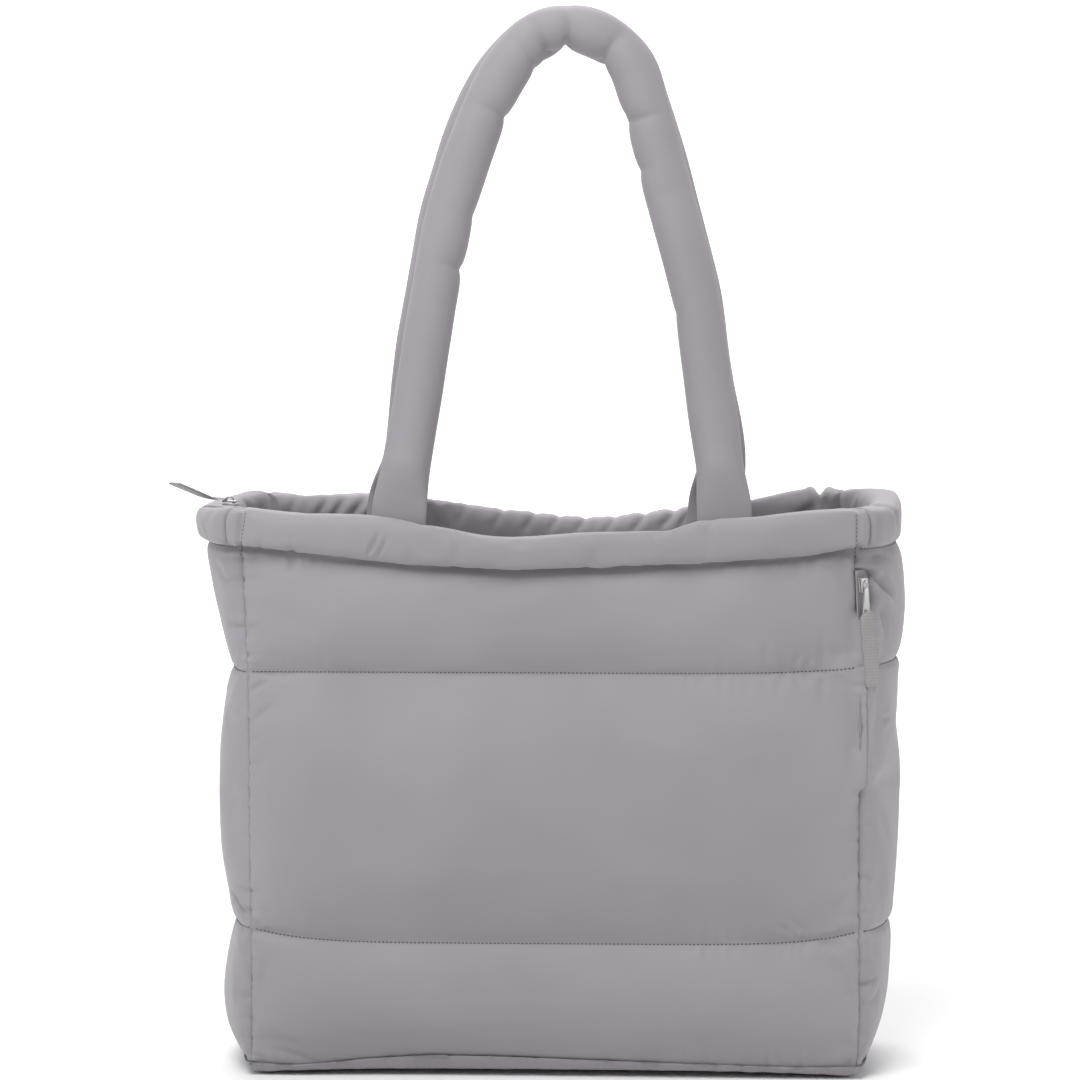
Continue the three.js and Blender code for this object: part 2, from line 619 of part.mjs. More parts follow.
const pocketPullTop = cornerPoint(
  2 * CLEARANCE + TAPE_THICKNESS + PULLER_HEIGHT,
  POCKET_ZIP_TOP - SLIDER_LENGTH - SLIDER_BAIL - PULLER_LENGTH - CLEARANCE,
);
const pocketPullPath = [
  { right: 0, back: 0, down: 0 },
  { right: 0.03, back: 0.01, down: 0.35 },
  { right: 0.06, back: 0.03, down: 0.7 },
  { right: 0.09, back: 0.04, down: 1 },
].map(({ right, back, down }) => pocketPullTop.clone().add(
  new THREE.Vector3(right, back, -down).multiplyScalar(PULL_LENGTH),
));
add('pocket_zip_pull', webbingPull(
  new THREE.CatmullRomCurve3(pocketPullPath), new THREE.Vector3(0.4, -1, 0).normalize(),
), WEBBING);

export default bag;
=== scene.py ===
import math

import bmesh
import bpy
from mathutils import Matrix, Vector, noise


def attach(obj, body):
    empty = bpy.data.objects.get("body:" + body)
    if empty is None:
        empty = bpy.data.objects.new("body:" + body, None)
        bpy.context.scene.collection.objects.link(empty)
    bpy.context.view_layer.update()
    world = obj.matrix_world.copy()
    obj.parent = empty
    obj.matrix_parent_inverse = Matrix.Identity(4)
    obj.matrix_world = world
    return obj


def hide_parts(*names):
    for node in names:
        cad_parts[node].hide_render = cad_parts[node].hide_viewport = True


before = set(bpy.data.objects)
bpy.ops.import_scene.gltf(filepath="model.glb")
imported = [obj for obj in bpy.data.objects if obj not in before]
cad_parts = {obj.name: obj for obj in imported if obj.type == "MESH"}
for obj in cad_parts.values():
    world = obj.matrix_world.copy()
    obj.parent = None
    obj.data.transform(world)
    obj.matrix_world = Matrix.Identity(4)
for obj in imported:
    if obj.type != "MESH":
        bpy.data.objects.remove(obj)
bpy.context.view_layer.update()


# Camera
# It stands 2.5 m in front of the bag, a little to its right and above its middle, as the
# photograph was taken, and looks at the middle of the bag with its handles up.
CAMERA_AZIMUTH = math.radians(2.0)
CAMERA_ELEVATION = math.radians(5.0)
CAMERA_DISTANCE = 2.5
CAMERA_TARGET = Vector((-0.0105, 0.0, 0.328))
CAMERA_LENS = 132.9


def add_object(name, data):
    """Puts a camera, a light or a mesh into the scene."""
    thing = bpy.data.objects.new(name, data)
    bpy.context.scene.collection.objects.link(thing)
    return thing


towards_camera = Vector((
    math.sin(CAMERA_AZIMUTH) * math.cos(CAMERA_ELEVATION),
    -math.cos(CAMERA_AZIMUTH) * math.cos(CAMERA_ELEVATION),
    math.sin(CAMERA_ELEVATION),
))
camera = add_object("camera", bpy.data.cameras.new("camera"))
camera.data.lens = CAMERA_LENS
camera.location = CAMERA_TARGET + towards_camera * CAMERA_DISTANCE
camera.rotation_mode = "QUATERNION"
camera.rotation_quaternion = (-towards_camera).to_track_quat("-Z", "Y")
bpy.context.scene.camera = camera


# Studio
# A white sweep of paper that runs from under the bag up behind it, a broad soft light above and
# in front, a weaker one from each side, one over the paper behind, and an even pale surround.
SWEEP_SIZE = 16.0
SWEEP_STEPS = 90
SWEEP_BEND_START = 2.2
SWEEP_BEND_RADIUS = 1.5
PAPER_WHITE = (0.93, 0.93, 0.93, 1)
PAPER_GLOW = {"from": 0.9, "to": 2.4, "strength": 0.35}
SURROUND_STRENGTH = 0.26
SOFT_LIGHTS = [
    {"name": "key", "at": (-0.5, -1.25, 2.15), "size": 1.3, "power": 42},
    {"name": "left_fill", "at": (-3.0, -0.6, 1.2), "size": 2.0, "power": 9},
    {"name": "right_fill", "at": (3.0, -0.4, 1.2), "size": 2.0, "power": 20},
    {"name": "sweep_light", "at": (0.0, 1.9, 3.4), "size": 3.0, "power": 95},
]


def new_material(name, roughness):
    """A new material, its node tree, its shader and the socket of its Object coordinates."""
    material = bpy.data.materials.new(name)
    material.use_nodes = True
    tree = material.node_tree
    shader = tree.nodes["Principled BSDF"]
    shader.inputs["Roughness"].default_value = roughness
    place = tree.nodes.new("ShaderNodeTexCoord").outputs["Object"]
    return material, tree, shader, place


def mesh_from(name, shape):
    """Turns a bmesh into a mesh and frees it."""
    mesh = bpy.data.meshes.new(name)
    shape.to_mesh(mesh)
    shape.free()
    return mesh


def paper_material():
    """White paper that glows faintly towards the back, where less light falls on it."""
    material, tree, shader, place = new_material("white_paper", 0.9)
    shader.inputs["Base Color"].default_value = PAPER_WHITE
    shader.inputs["Emission Color"].default_value = (1, 1, 1, 1)
    parts = tree.nodes.new("ShaderNodeSeparateXYZ")
    fade = tree.nodes.new("ShaderNodeMapRange")
    fade.interpolation_type = "SMOOTHSTEP"
    tree.links.new(place, parts.inputs["Vector"])
    tree.links.new(parts.outputs["Y"], fade.inputs["Value"])
    fade.inputs["From Min"].default_value = PAPER_GLOW["from"]
    fade.inputs["From Max"].default_value = PAPER_GLOW["to"]
    fade.inputs["To Max"].default_value = PAPER_GLOW["strength"]
    tree.links.new(fade.outputs["Result"], shader.inputs["Emission Strength"])
    return material


def build_sweep():
    shape = bmesh.new()
    bmesh.ops.create_grid(shape, x_segments=2, y_segments=SWEEP_STEPS, size=SWEEP_SIZE / 2)
    for vertex in shape.verts:
        beyond = vertex.co.y - SWEEP_BEND_START
        if beyond > 0:
            turn = min(beyond / SWEEP_BEND_RADIUS, math.pi / 2)
            rest = beyond - turn * SWEEP_BEND_RADIUS
            vertex.co.y = SWEEP_BEND_START + SWEEP_BEND_RADIUS * math.sin(turn)
            vertex.co.z = SWEEP_BEND_RADIUS * (1 - math.cos(turn)) + rest
    mesh = mesh_from("sweep", shape)
    mesh.materials.append(paper_material())
    mesh.shade_smooth()
    sweep = add_object("sweep", mesh)


def build_lights():
    for row in SOFT_LIGHTS:
        data = bpy.data.lights.new(row["name"], "AREA")
        data.shape = "SQUARE"
        data.size = row["size"]
        data.energy = row["power"]
        light = add_object(row["name"], data)
        light.location = row["at"]
        light.rotation_mode = "QUATERNION"
        light.rotation_quaternion = (CAMERA_TARGET - light.location).to_track_quat("-Z", "Y")
    world = bpy.data.worlds.new("surround")
    world.use_nodes = True
    background = world.node_tree.nodes["Background"]
    background.inputs["Color"].default_value = (1, 1, 1, 1)
    background.inputs["Strength"].default_value = SURROUND_STRENGTH
    bpy.context.scene.world = world
    bpy.context.scene.view_settings.view_transform = "Standard"


build_sweep()
build_lights()


# Nylon
# The bag's shell is a matte grey nylon over soft filling. Its weave is too fine to count, so it
# shows as a faint grain, with soft crinkles where the cloth is slack.
NYLON_GREY = (0.322, 0.3, 0.328)
NYLON_SHADE = (0.296, 0.276, 0.3)
WEAVE_PITCH = 0.0006
CRINKLE_SIZE = 0.022


def add_node(tree, kind, settings=None, **inputs):
    """A node with its properties and its unlinked inputs set; an input may be a socket."""
    node = tree.nodes.new(kind)
    for name, value in (settings or {}).items():
        setattr(node, name, value)
    for name, value in inputs.items():
        socket = node.inputs[name.replace("_", " ")]
        if isinstance(value, bpy.types.NodeSocket):
            tree.links.new(value, socket)
        else:
            socket.default_value = value
    return node


def maths(tree, operation, first, second=0.0):
    node = tree.nodes.new("ShaderNodeMath")
    node.operation = operation
    for socket, value in zip(node.inputs, (first, second)):
        if isinstance(value, bpy.types.NodeSocket):
            tree.links.new(value, socket)
        else:
            socket.default_value = value
    return node.outputs[0]


def cloth_group():
    """Grain, crinkles and shade of a woven cloth, from Object coordinates."""
    tree = bpy.data.node_groups.new("woven_cloth", "ShaderNodeTree")
    tree.interface.new_socket("Vector", in_out="INPUT", socket_type="NodeSocketVector")
    for name in ("Grain", "Crinkle", "Shade"):
        tree.interface.new_socket(name, in_out="OUTPUT", socket_type="NodeSocketFloat")
    start = tree.nodes.new("NodeGroupInput").outputs["Vector"]
    end = tree.nodes.new("NodeGroupOutput")
    parts = add_node(tree, "ShaderNodeSeparateXYZ", Vector=start)
    turn = 2 * math.pi / WEAVE_PITCH
    slanted = maths(tree, "ADD", parts.outputs["X"], parts.outputs["Y"])
    warp = maths(tree, "SINE", maths(tree, "MULTIPLY", slanted, turn))
    weft = maths(tree, "SINE", maths(tree, "MULTIPLY", parts.outputs["Z"], turn))
    grain = maths(tree, "MULTIPLY", warp, weft)
    crinkle = add_node(
        tree, "ShaderNodeTexNoise", Vector=start,
        Scale=1 / CRINKLE_SIZE, Detail=3.0, Roughness=0.45, Distortion=0.6,
    )
    shade = add_node(tree, "ShaderNodeTexNoise", Vector=start, Scale=9.0, Detail=2.0)
    tree.links.new(grain, end.inputs["Grain"])
    tree.links.new(crinkle.outputs["Fac"], end.inputs["Crinkle"])
    tree.links.new(shade.outputs["Fac"], end.inputs["Shade"])
    return tree


woven_cloth = cloth_group()


def colour_by(tree, shader, value, dark, light, low=0.0, high=1.0):
    """Colours a shader between two colours by a value that runs from low to high."""
    ramp = tree.nodes.new("ShaderNodeValToRGB")
    ends = ramp.color_ramp.elements
    ends[0].position = low
    ends[0].color = (*dark, 1)
    ends[1].position = high
    ends[1].color = (*light, 1)
    tree.links.new(value, ramp.inputs["Fac"])
    tree.links.new(ramp.outputs["Color"], shader.inputs["Base Color"])


def roughen(tree, shader, **inputs):
    """Gives a shader a bump node with these inputs."""
    bump = add_node(tree, "ShaderNodeBump", **inputs)
    tree.links.new(bump.outputs["Normal"], shader.inputs["Normal"])


def nylon_material():
    material, tree, shader, place = new_material("shell_nylon", 0.62)
    cloth = add_node(tree, "ShaderNodeGroup", {"node_tree": woven_cloth}, Vector=place)
    colour_by(tree, shader, cloth.outputs["Shade"], NYLON_SHADE, NYLON_GREY, 0.35, 0.6)
    folds = add_node(
        tree, "ShaderNodeBump", Strength=0.25, Distance=0.0015,
        Height=cloth.outputs["Crinkle"],
    )
    roughen(
        tree, shader, Strength=0.12, Distance=0.00008,
        Height=cloth.outputs["Grain"], Normal=folds.outputs["Normal"],
    )
    shader.inputs["Specular IOR Level"].default_value = 0.35
    shader.inputs["Sheen Weight"].default_value = 0.12
    shader.inputs["Sheen Roughness"].default_value = 0.5
    return material


shell_nylon = nylon_material()


# Padded walls
# Front, back and both sides: nylon over filling, stitched through along two level lines into
# three channels and sewn to each other at the corners. Each outer skin is blown up as cloth.
MM = 0.001
BODY_WIDTH = 378
BODY_DEPTH = 132
BODY_HEIGHT = 354
RIM_HEIGHT = 24
SEAM_SAG = 13.5
SEAM_THICKNESS = 4
GUSSET_BOW = 30
BASE_SEAM_HEIGHT = 14
LOWER_QUILT = {"height": 84, "left_lift": 9, "right_lift": 9}
UPPER_QUILT = {"height": 252, "left_lift": 0, "right_lift": 5}
MITRE_SHARPNESS = 8
WALL_PUFF_INSIDE = 3
GUSSET_ROUNDNESS = (2.4, 0.75)


def named_rows(columns, rows):
    """A table whose rows are read by the names of its columns."""
    return [dict(zip(columns, row)) for row in rows]


# Shares of the sags at places across the front and back, and of the bow and sway up the sides.
MOUTH = named_rows(("across", "front_top", "back_top", "seam", "base"), [
    (-1, 0, 0, 0, 0.6),
    (-0.84, 0.23, 0.15, 0.25, 0.5),
    (-0.58, 0.32, 0.2, 0.68, 0.85),
    (-0.4, 0.6, 0.34, 0.87, 0.98),
    (-0.15, 0.98, 0.64, 1, 0.95),
    (0.13, 0.88, 0.9, 0.92, 0.82),
    (0.37, 0.8, 0.64, 0.8, 0.7),
    (0.5, 0.44, 0.5, 0.73, 0.65),
    (0.68, 0.3, 0.3, 0.58, 0.58),
    (0.84, 0.11, -0.05, 0.37, 0.55),
    (1, 0, -0.1, 0, 0.6),
])
SIDES = named_rows(("rise", "left", "right", "sway"), [
    (0.02, 0.2, 0.2, 0),
    (0.068, 0.6, 0.42, 0.02),
    (0.141, 0.7, 0.59, 0.03),
    (0.265, 0.47, 0.67, 0.02),
    (0.39, 0.65, 0.78, 0),
    (0.55, 0.66, 0.79, 0),
    (0.61, 0.6, 0.74, 0),
    (0.715, 0.44, 0.83, -0.02),
    (0.79, 0.62, 0.98, -0.05),
    (0.85, 0.76, 1.02, -0.08),
    (0.932, 0.84, 0.9, -0.12),
    (1, 0.5, 0.44, -0.12),
])
ALONG_X = {"front": True, "back": True, "left": False, "right": False}
OUTWARD = {"front": -1, "back": 1, "left": -1, "right": 1}


def read(table, axis, column, place):
    """The value of one column of a table at a place, smoothly between its rows."""
    last = len(table) - 1
    place = min(max(place, table[0][axis]), table[last][axis])
    upper = next(k for k in range(1, last + 1) if k == last or table[k][axis] >= place)
    lower = upper - 1

    def slope(start, end):
        rise = table[end][column] - table[start][column]
        return rise / (table[end][axis] - table[start][axis])

    span = table[upper][axis] - table[lower][axis]
    leaving = slope(max(lower - 1, 0), upper) * span
    arriving = slope(lower, min(upper + 1, last)) * span
    t = (place - table[lower][axis]) / span
    rest = 1 - t
    value = table[lower][column] * rest * rest * (1 + 2 * t) + leaving * t * rest * rest
    return value + table[upper][column] * t * t * (3 - 2 * t) - arriving * t * t * rest


def signed_power(base, power):
    return math.copysign(abs(base) ** power, base)


def sway_at(height):
    return GUSSET_BOW * read(SIDES, "rise", "sway", height / BODY_HEIGHT)


def wall_point(side, across, out, height):
    """A point of a wall in metres, from its place across, out of the seam plane and up."""
    half = (BODY_WIDTH if ALONG_X[side] else BODY_DEPTH) / 2
    plane = (BODY_DEPTH if ALONG_X[side] else BODY_WIDTH) / 2
    along = across * half + signed_power(across, MITRE_SHARPNESS) * out
    away = OUTWARD[side] * (plane + out)
    x, y = (along, away) if ALONG_X[side] else (away, along)
    return Vector((x + sway_at(height), y, height)) * MM


def bow_at(side, across, height):
    if ALONG_X[side]:
        return 0.0
    middle = GUSSET_BOW * read(SIDES, "rise", side, height / BODY_HEIGHT)
    broad, round_off = GUSSET_ROUNDNESS
    return middle * max(1 - abs(across) ** broad, 0) ** round_off


def quilt_height(quilt, across):
    lift = quilt["left_lift"] if across < 0 else quilt["right_lift"]
    return quilt["height"] + lift * abs(across) ** 6


def levels_at(side, across):
    """Heights of the base seam, the two quilted seams and the seam under the roll."""
    corner = {"left": -1, "right": 1}.get(side, across)
    return [
        BASE_SEAM_HEIGHT * read(MOUTH, "across", "base", corner),
        quilt_height(LOWER_QUILT, corner),
        quilt_height(UPPER_QUILT, corner),
        BODY_HEIGHT - RIM_HEIGHT - SEAM_SAG * read(MOUTH, "across", "seam", corner),
    ]


# Creases where the slack cloth folds: from and to are places along the wall and up it. The bend
# bows a crease sideways, and ease_in is the share of it that runs up to its full depth.
CREASE_COLUMNS = ("from", "to", "depth", "width", "bend", "ease_in")
CREASE_OVERRUN = 0.15
CREASES = {
    "front": named_rows(CREASE_COLUMNS, [
        ((-188, 239), (-174, 247), 1.2, 1.8),
        ((-187, 221), (-170, 233), 1.2, 2.0),
        ((-188, 208), (-177, 213), 0.8, 1.8),
        ((-187, 280), (-178, 282), 1.3, 1.6),
        ((-160, 327), (-160, 312), 1.3, 2.2),
        ((-146, 326), (-148, 314), 0.7, 2.2),
        ((-186, 296), (-140, 276), 1.2, 9.0),
        ((-172, 18), (-146, 10), 1.4, 2.2),
        ((-176, 26), (-150, 17), 1.0, 2.6),
        ((129, 261), (130, 273), 1.0, 2.2),
        ((147, 258), (150, 266), 0.8, 1.8),
        ((163, 256), (165, 286), 1.0, 2.0),
        ((156, 257), (158, 264), 0.8, 1.6),
        ((119, 250), (118, 238), 0.8, 2.0),
        ((137, 250), (137, 236), 1.0, 2.2),
        ((150, 250), (151, 242), 0.8, 1.8),
        ((164, 250), (166, 232), 1.2, 2.4, 1),
        ((156, 92), (141, 105), 0.8, 1.8),
        ((148, 91), (136, 99), 0.6, 1.6),
        ((165, 86), (180, 76), 1.2, 1.8, -2),
        ((170, 87), (181, 81), 0.8, 1.6, -1),
        ((187, 56), (176, 53), 0.8, 2.0),
    ]),
    "back": named_rows(CREASE_COLUMNS, [
        ((-150, 320), (-146, 300), 1.0, 2.4),
        ((60, 258), (63, 276), 0.9, 2.2),
        ((-90, 248), (-92, 232), 0.9, 2.2),
        ((186, 160), (168, 171), 1.0, 2.6),
        ((-186, 70), (-166, 62), 1.0, 2.4),
    ]),
    "left": named_rows(CREASE_COLUMNS, [
        ((-50, 113), (-66, 99), 2.2, 1.8),
        ((-66, 279), (-56, 281), 1.8, 1.8),
        ((-66, 49), (-54, 50), 2.0, 1.8),
        ((-58, 92), (-66, 74), 1.4, 3.0, 2),
        ((-64, 306), (-44, 318), 1.2, 3.0),
        ((-64, 268), (-50, 258), 1.0, 2.6),
        ((30, 286), (-6, 262), 1.4, 4.0, 4),
        ((60, 190), (40, 204), 1.2, 3.0),
        ((62, 118), (44, 108), 1.2, 2.6),
    ]),
    "right": named_rows(CREASE_COLUMNS, [
        ((-66, 314), (-65, 289), 6.0, 2.0, 0, 0.0),
        ((-66, 268), (-65, 238), 3.5, 1.6),
        ((-66, 313), (-44, 298), 5.0, 2.6, 0, 0.0),
        ((-66, 324), (-46, 320), 1.6, 3.0, -3),
        ((-65, 298), (-51, 272), 3.2, 2.8, -3),
        ((-58, 292), (-44, 276), 1.4, 3.0, -2),
        ((-66, 127), (-60, 127), 2.4, 1.6),
        ((-66, 59), (-56, 63), 3.0, 2.0),
        ((-66, 44), (-50, 56), 1.4, 3.0),
        ((-52, 222), (-40, 222), 1.6, 1.8),
        ((30, 300), (-4, 276), 1.4, 4.0, 4),
        ((62, 150), (42, 160), 1.2, 3.0),
    ]),
}
# Puckers are the short ripples gathered along the seams, by place across the wall.
PUCKER_REACH = 9.0
PUCKER_PITCH = 4.2
PUCKERS = named_rows(("across", "level", "upright"), [
    (-1, 0.8, 1.6),
    (-0.6, 0.35, 1.4),
    (0.2, 0.3, 1.0),
    (0.6, 1.1, 1.0),
    (1, 1.3, 1.0),
])
SEAM_SINK = 1.8
SEAM_SINK_REACH = 3.2

# Swelling of the three channels, the cloth and the lip that covers the closed pocket zip.
CHANNELS = [
    {"rows": 24, "puff": 0.85},
    {"rows": 42, "puff": 1.0},
    {"rows": 24, "puff": 0.9},
]
SEAM_ROWS = [sum(channel["rows"] for channel in CHANNELS[:k]) for k in range(4)]
WALL_COLUMNS = {"front": 126, "back": 110, "left": 44, "right": 44}
SEAM_CROWDING = 0.6
CLOTH_FRAMES = 20
WALL_SLACK = 0.012
WALL_PRESSURE = 3.0
WALL_CAP = 0.006
START_PUFF = {"front": 6.4, "back": 6.4, "left": -1.5, "right": -1.5}
ROLL_SHADOW_SINK = {"front": 2.4, "back": 2.4, "left": 2.0, "right": 2.0}
ROLL_SHADOW_REACH = 4.0
TOP_TUCK = 1.4
TAUT_PASSES = 18
TAUT_EDGE = 5
POCKET_CLOSED = (182, 286)
POCKET_LIP = 3.2
POCKET_LIP_REACH = 6.0


def new_grid(name, columns, rows, rule):
    """A grid piece: rule(u, v) places each point, and the UV map keeps u and v."""
    shape = bmesh.new()
    bmesh.ops.create_grid(shape, x_segments=columns, y_segments=rows, size=0.5)
    uv = shape.loops.layers.uv.new("place")
    for face in shape.faces:
        for loop in face.loops:
            loop[uv].uv = (loop.vert.co.x + 0.5, loop.vert.co.y + 0.5)
    for vertex in shape.verts:
        vertex.co = rule(vertex.co.x + 0.5, vertex.co.y + 0.5)
    return add_object(name, mesh_from(name, shape))


def places(shape):
    """The place (u, v) of each vertex of a bmesh, from its UV map."""
    uv = shape.loops.layers.uv.active
    return {loop.vert: loop[uv].uv.copy() for face in shape.faces for loop in face.loops}


def edit(piece, change):
    """Runs change(shape, place of each vertex) on a piece's mesh."""
    shape = bmesh.new()
    shape.from_mesh(piece.data)
    change(shape, places(shape))
    shape.to_mesh(piece.data)
    shape.free()


def bake(piece):
    """Applies a piece's modifiers to its mesh."""
    graph = bpy.context.evaluated_depsgraph_get()
    mesh = bpy.data.meshes.new_from_object(piece.evaluated_get(graph))
    old, piece.data = piece.data, mesh
    piece.modifiers.clear()
    bpy.data.meshes.remove(old)


def blow_up(piece, held, pressure, slack, cap):
    """Swells a skin as cloth: where held(u, v) it stays, and nothing moves further than cap."""
    kept = []

    def find_kept(shape, place):
        kept.extend(vertex.index for vertex in shape.verts if held(*place[vertex]))
    edit(piece, find_kept)
    before = [vertex.co.copy() for vertex in piece.data.vertices]
    group = piece.vertex_groups.new(name="held")
    group.add(kept, 1.0, "REPLACE")
    cloth = piece.modifiers.new("cloth", "CLOTH")
    cloth.settings.quality = 5
    cloth.settings.mass = 0.1
    cloth.settings.tension_stiffness = 15
    cloth.settings.compression_stiffness = 15
    cloth.settings.shear_stiffness = 5
    cloth.settings.bending_stiffness = 0.6
    cloth.settings.use_pressure = True
    cloth.settings.uniform_pressure_force = pressure
    cloth.settings.shrink_min = -slack
    cloth.settings.vertex_group_mass = "held"
    cloth.settings.effector_weights.gravity = 0
    cloth.point_cache.frame_start = 1
    cloth.point_cache.frame_end = CLOTH_FRAMES
    for step in range(1, CLOTH_FRAMES + 1):
        bpy.context.scene.frame_set(step)
    bake(piece)
    bpy.context.scene.frame_set(1)
    piece.vertex_groups.clear()
    for vertex, start in zip(piece.data.vertices, before):
        moved = vertex.co - start
        if moved.length > cap:
            vertex.co = start + moved.normalized() * cap


def wall_rows():
    """Each row of a wall's grid as its channel and its place up the channel, 0 to 1."""
    rows = [(0, 0.0)]
    for k, channel in enumerate(CHANNELS):
        for row in range(1, channel["rows"] + 1):
            even = row / channel["rows"]
            crowded = (1 - math.cos(math.pi * even)) / 2
            rows.append((k, even + (crowded - even) * SEAM_CROWDING))
    return rows


WALL_ROWS = wall_rows()


def wall_place(side, u, v):
    """Place across, height and swelling (a share) of a wall at a point of its grid."""
    across = 2 * u - 1
    row = v * (len(WALL_ROWS) - 1)
    low = min(int(row), len(WALL_ROWS) - 2)
    channel, t_high = WALL_ROWS[low + 1]
    t_low = WALL_ROWS[low][1] if WALL_ROWS[low][0] == channel else 0.0
    t = t_low + (t_high - t_low) * (row - low)
    levels = levels_at(side, across)
    height = levels[channel] + (levels[channel + 1] - levels[channel]) * t
    if low == len(WALL_ROWS) - 2:
        height += TOP_TUCK * (row - low)
    edge = math.sqrt(max(1 - abs(across) ** 6, 0))
    swell = CHANNELS[channel]["puff"] * max(math.sin(math.pi * t), 0) ** 0.6 * edge
    return across, height, swell


def close_pad(piece, inner_rule):
    """Adds a pad's inner skin, placed by inner_rule(u, v), and joins it all round."""
    def change(shape, place):
        uv = shape.loops.layers.uv.active
        rim = [edge for edge in shape.edges if edge.is_boundary]
        outer = shape.verts[:] + shape.edges[:] + shape.faces[:]
        made = bmesh.ops.duplicate(shape, geom=outer)["geom"]
        faces = [item for item in made if isinstance(item, bmesh.types.BMFace)]
        edges = [item for item in made if isinstance(item, bmesh.types.BMEdge)]
        seen = set()
        for face in faces:
            for loop in face.loops:
                if loop.vert not in seen:
                    seen.add(loop.vert)
                    loop.vert.co = inner_rule(*loop[uv].uv)
        bmesh.ops.reverse_faces(shape, faces=faces)
        inner_rim = [edge for edge in edges if edge.is_boundary]
        bmesh.ops.bridge_loops(shape, edges=rim + inner_rim)
        bmesh.ops.recalc_face_normals(shape, faces=shape.faces[:])
    edit(piece, change)


def refine(piece):
    smooth = piece.modifiers.new("smooth", "SUBSURF")
    smooth.levels = 1
    smooth.render_levels = 1
    smooth.boundary_smooth = "PRESERVE_CORNERS"
    bake(piece)


def ease(value, low, high):
    t = min(max((value - low) / (high - low), 0), 1)
    return t * t * (3 - 2 * t)


def crease_depth(rows, along, up):
    """How far a table's creases press a pad in at a place, in millimetres."""
    total = 0.0
    for row in rows:
        x0, z0 = row["from"]
        x1, z1 = row["to"]
        run = Vector((x1 - x0, z1 - z0))
        reach = run.length
        run.normalize()
        away = Vector((along - x0, up - z0))
        t = away.dot(run) / reach
        if not -CREASE_OVERRUN < t < 1 + CREASE_OVERRUN:
            continue
        bend = row.get("bend", 0.0) * math.sin(math.pi * min(max(t, 0), 1))
        offset = (away.x * run.y - away.y * run.x - bend) / row["width"]
        if abs(offset) > 5:
            continue
        fade = ease(t, -CREASE_OVERRUN, row.get("ease_in", 0.3))
        fade *= 1 - ease(t, 0.5, 1 + CREASE_OVERRUN)
        valley = math.exp(-abs(offset) ** 1.3) - 0.35 * math.exp(-((abs(offset) - 2) / 1.2) ** 2)
        total += row["depth"] * fade * valley
    return total


def pucker_depth(side, along, up):
    """Ripples that run out from the seams round a wall's channels, in millimetres."""
    half = (BODY_WIDTH if ALONG_X[side] else BODY_DEPTH) / 2
    across = min(max(along / half, -1), 1)
    total = 0.0
    for level in levels_at(side, across):
        near = math.exp(-((up - level) / PUCKER_REACH) ** 2)
        near -= 0.9 * math.exp(-((up - level) / 1.5) ** 2)
        ripple = noise.noise(Vector((along / PUCKER_PITCH, level, OUTWARD[side] * 7)))
        total += max(near, 0) * ripple * read(PUCKERS, "across", "level", across)
    near = math.exp(-((half - abs(along)) / PUCKER_REACH) ** 2)
    ripple = noise.noise(Vector((up / PUCKER_PITCH, 31 * math.copysign(1, along), OUTWARD[side])))
    return total + near * ripple * read(PUCKERS, "across", "upright", across)


def press_creases(piece, side, rows, puckered):
    """Presses a table's creases, and a wall's puckers, into a pad's skin."""
    normals = [vertex.normal.copy() for vertex in piece.data.vertices]
    for vertex, normal in zip(piece.data.vertices, normals):
        place = vertex.co / MM
        along = place.x if ALONG_X[side] else place.y
        depth = crease_depth(rows, along, place.z)
        if puckered:
            depth += pucker_depth(side, along, place.z)
        vertex.co -= normal * depth * MM


def stand_for(piece, node, material):
    """Dresses a piece that stands for a solid."""
    piece.data.materials.clear()
    piece.data.materials.append(material)
    piece.data.shade_smooth()
    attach(piece, "root")
    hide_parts(node)


def finish_pad(piece, node):
    stand_for(piece, node, shell_nylon)


def over_pocket(side, across, height):
    """Whether a place lies at the seam over the closed part of the pocket zip."""
    at_seam = (side == "front" and across > 0.9) or (side == "right" and across < -0.9)
    return at_seam and POCKET_CLOSED[0] < height < POCKET_CLOSED[1]


def draw_taut(piece, columns, rows):
    """Draws a wall's skin taut across its width, which takes out the ripples of the cloth."""
    def change(shape, place):
        lines = [[None] * (columns + 1) for row in range(rows + 1)]
        for vertex in shape.verts:
            u, v = place[vertex]
            lines[round(v * rows)][round(u * columns)] = vertex
        for line in lines:
            for step in range(TAUT_PASSES):
                points = [vertex.co.copy() for vertex in line]
                for k in range(1, columns):
                    share = 0.5 * ease(min(k, columns - k), TAUT_EDGE, 2 * TAUT_EDGE)
                    middle = (points[k - 1] + points[k + 1]) / 2
                    line[k].co = points[k].lerp(middle, share)
    edit(piece, change)


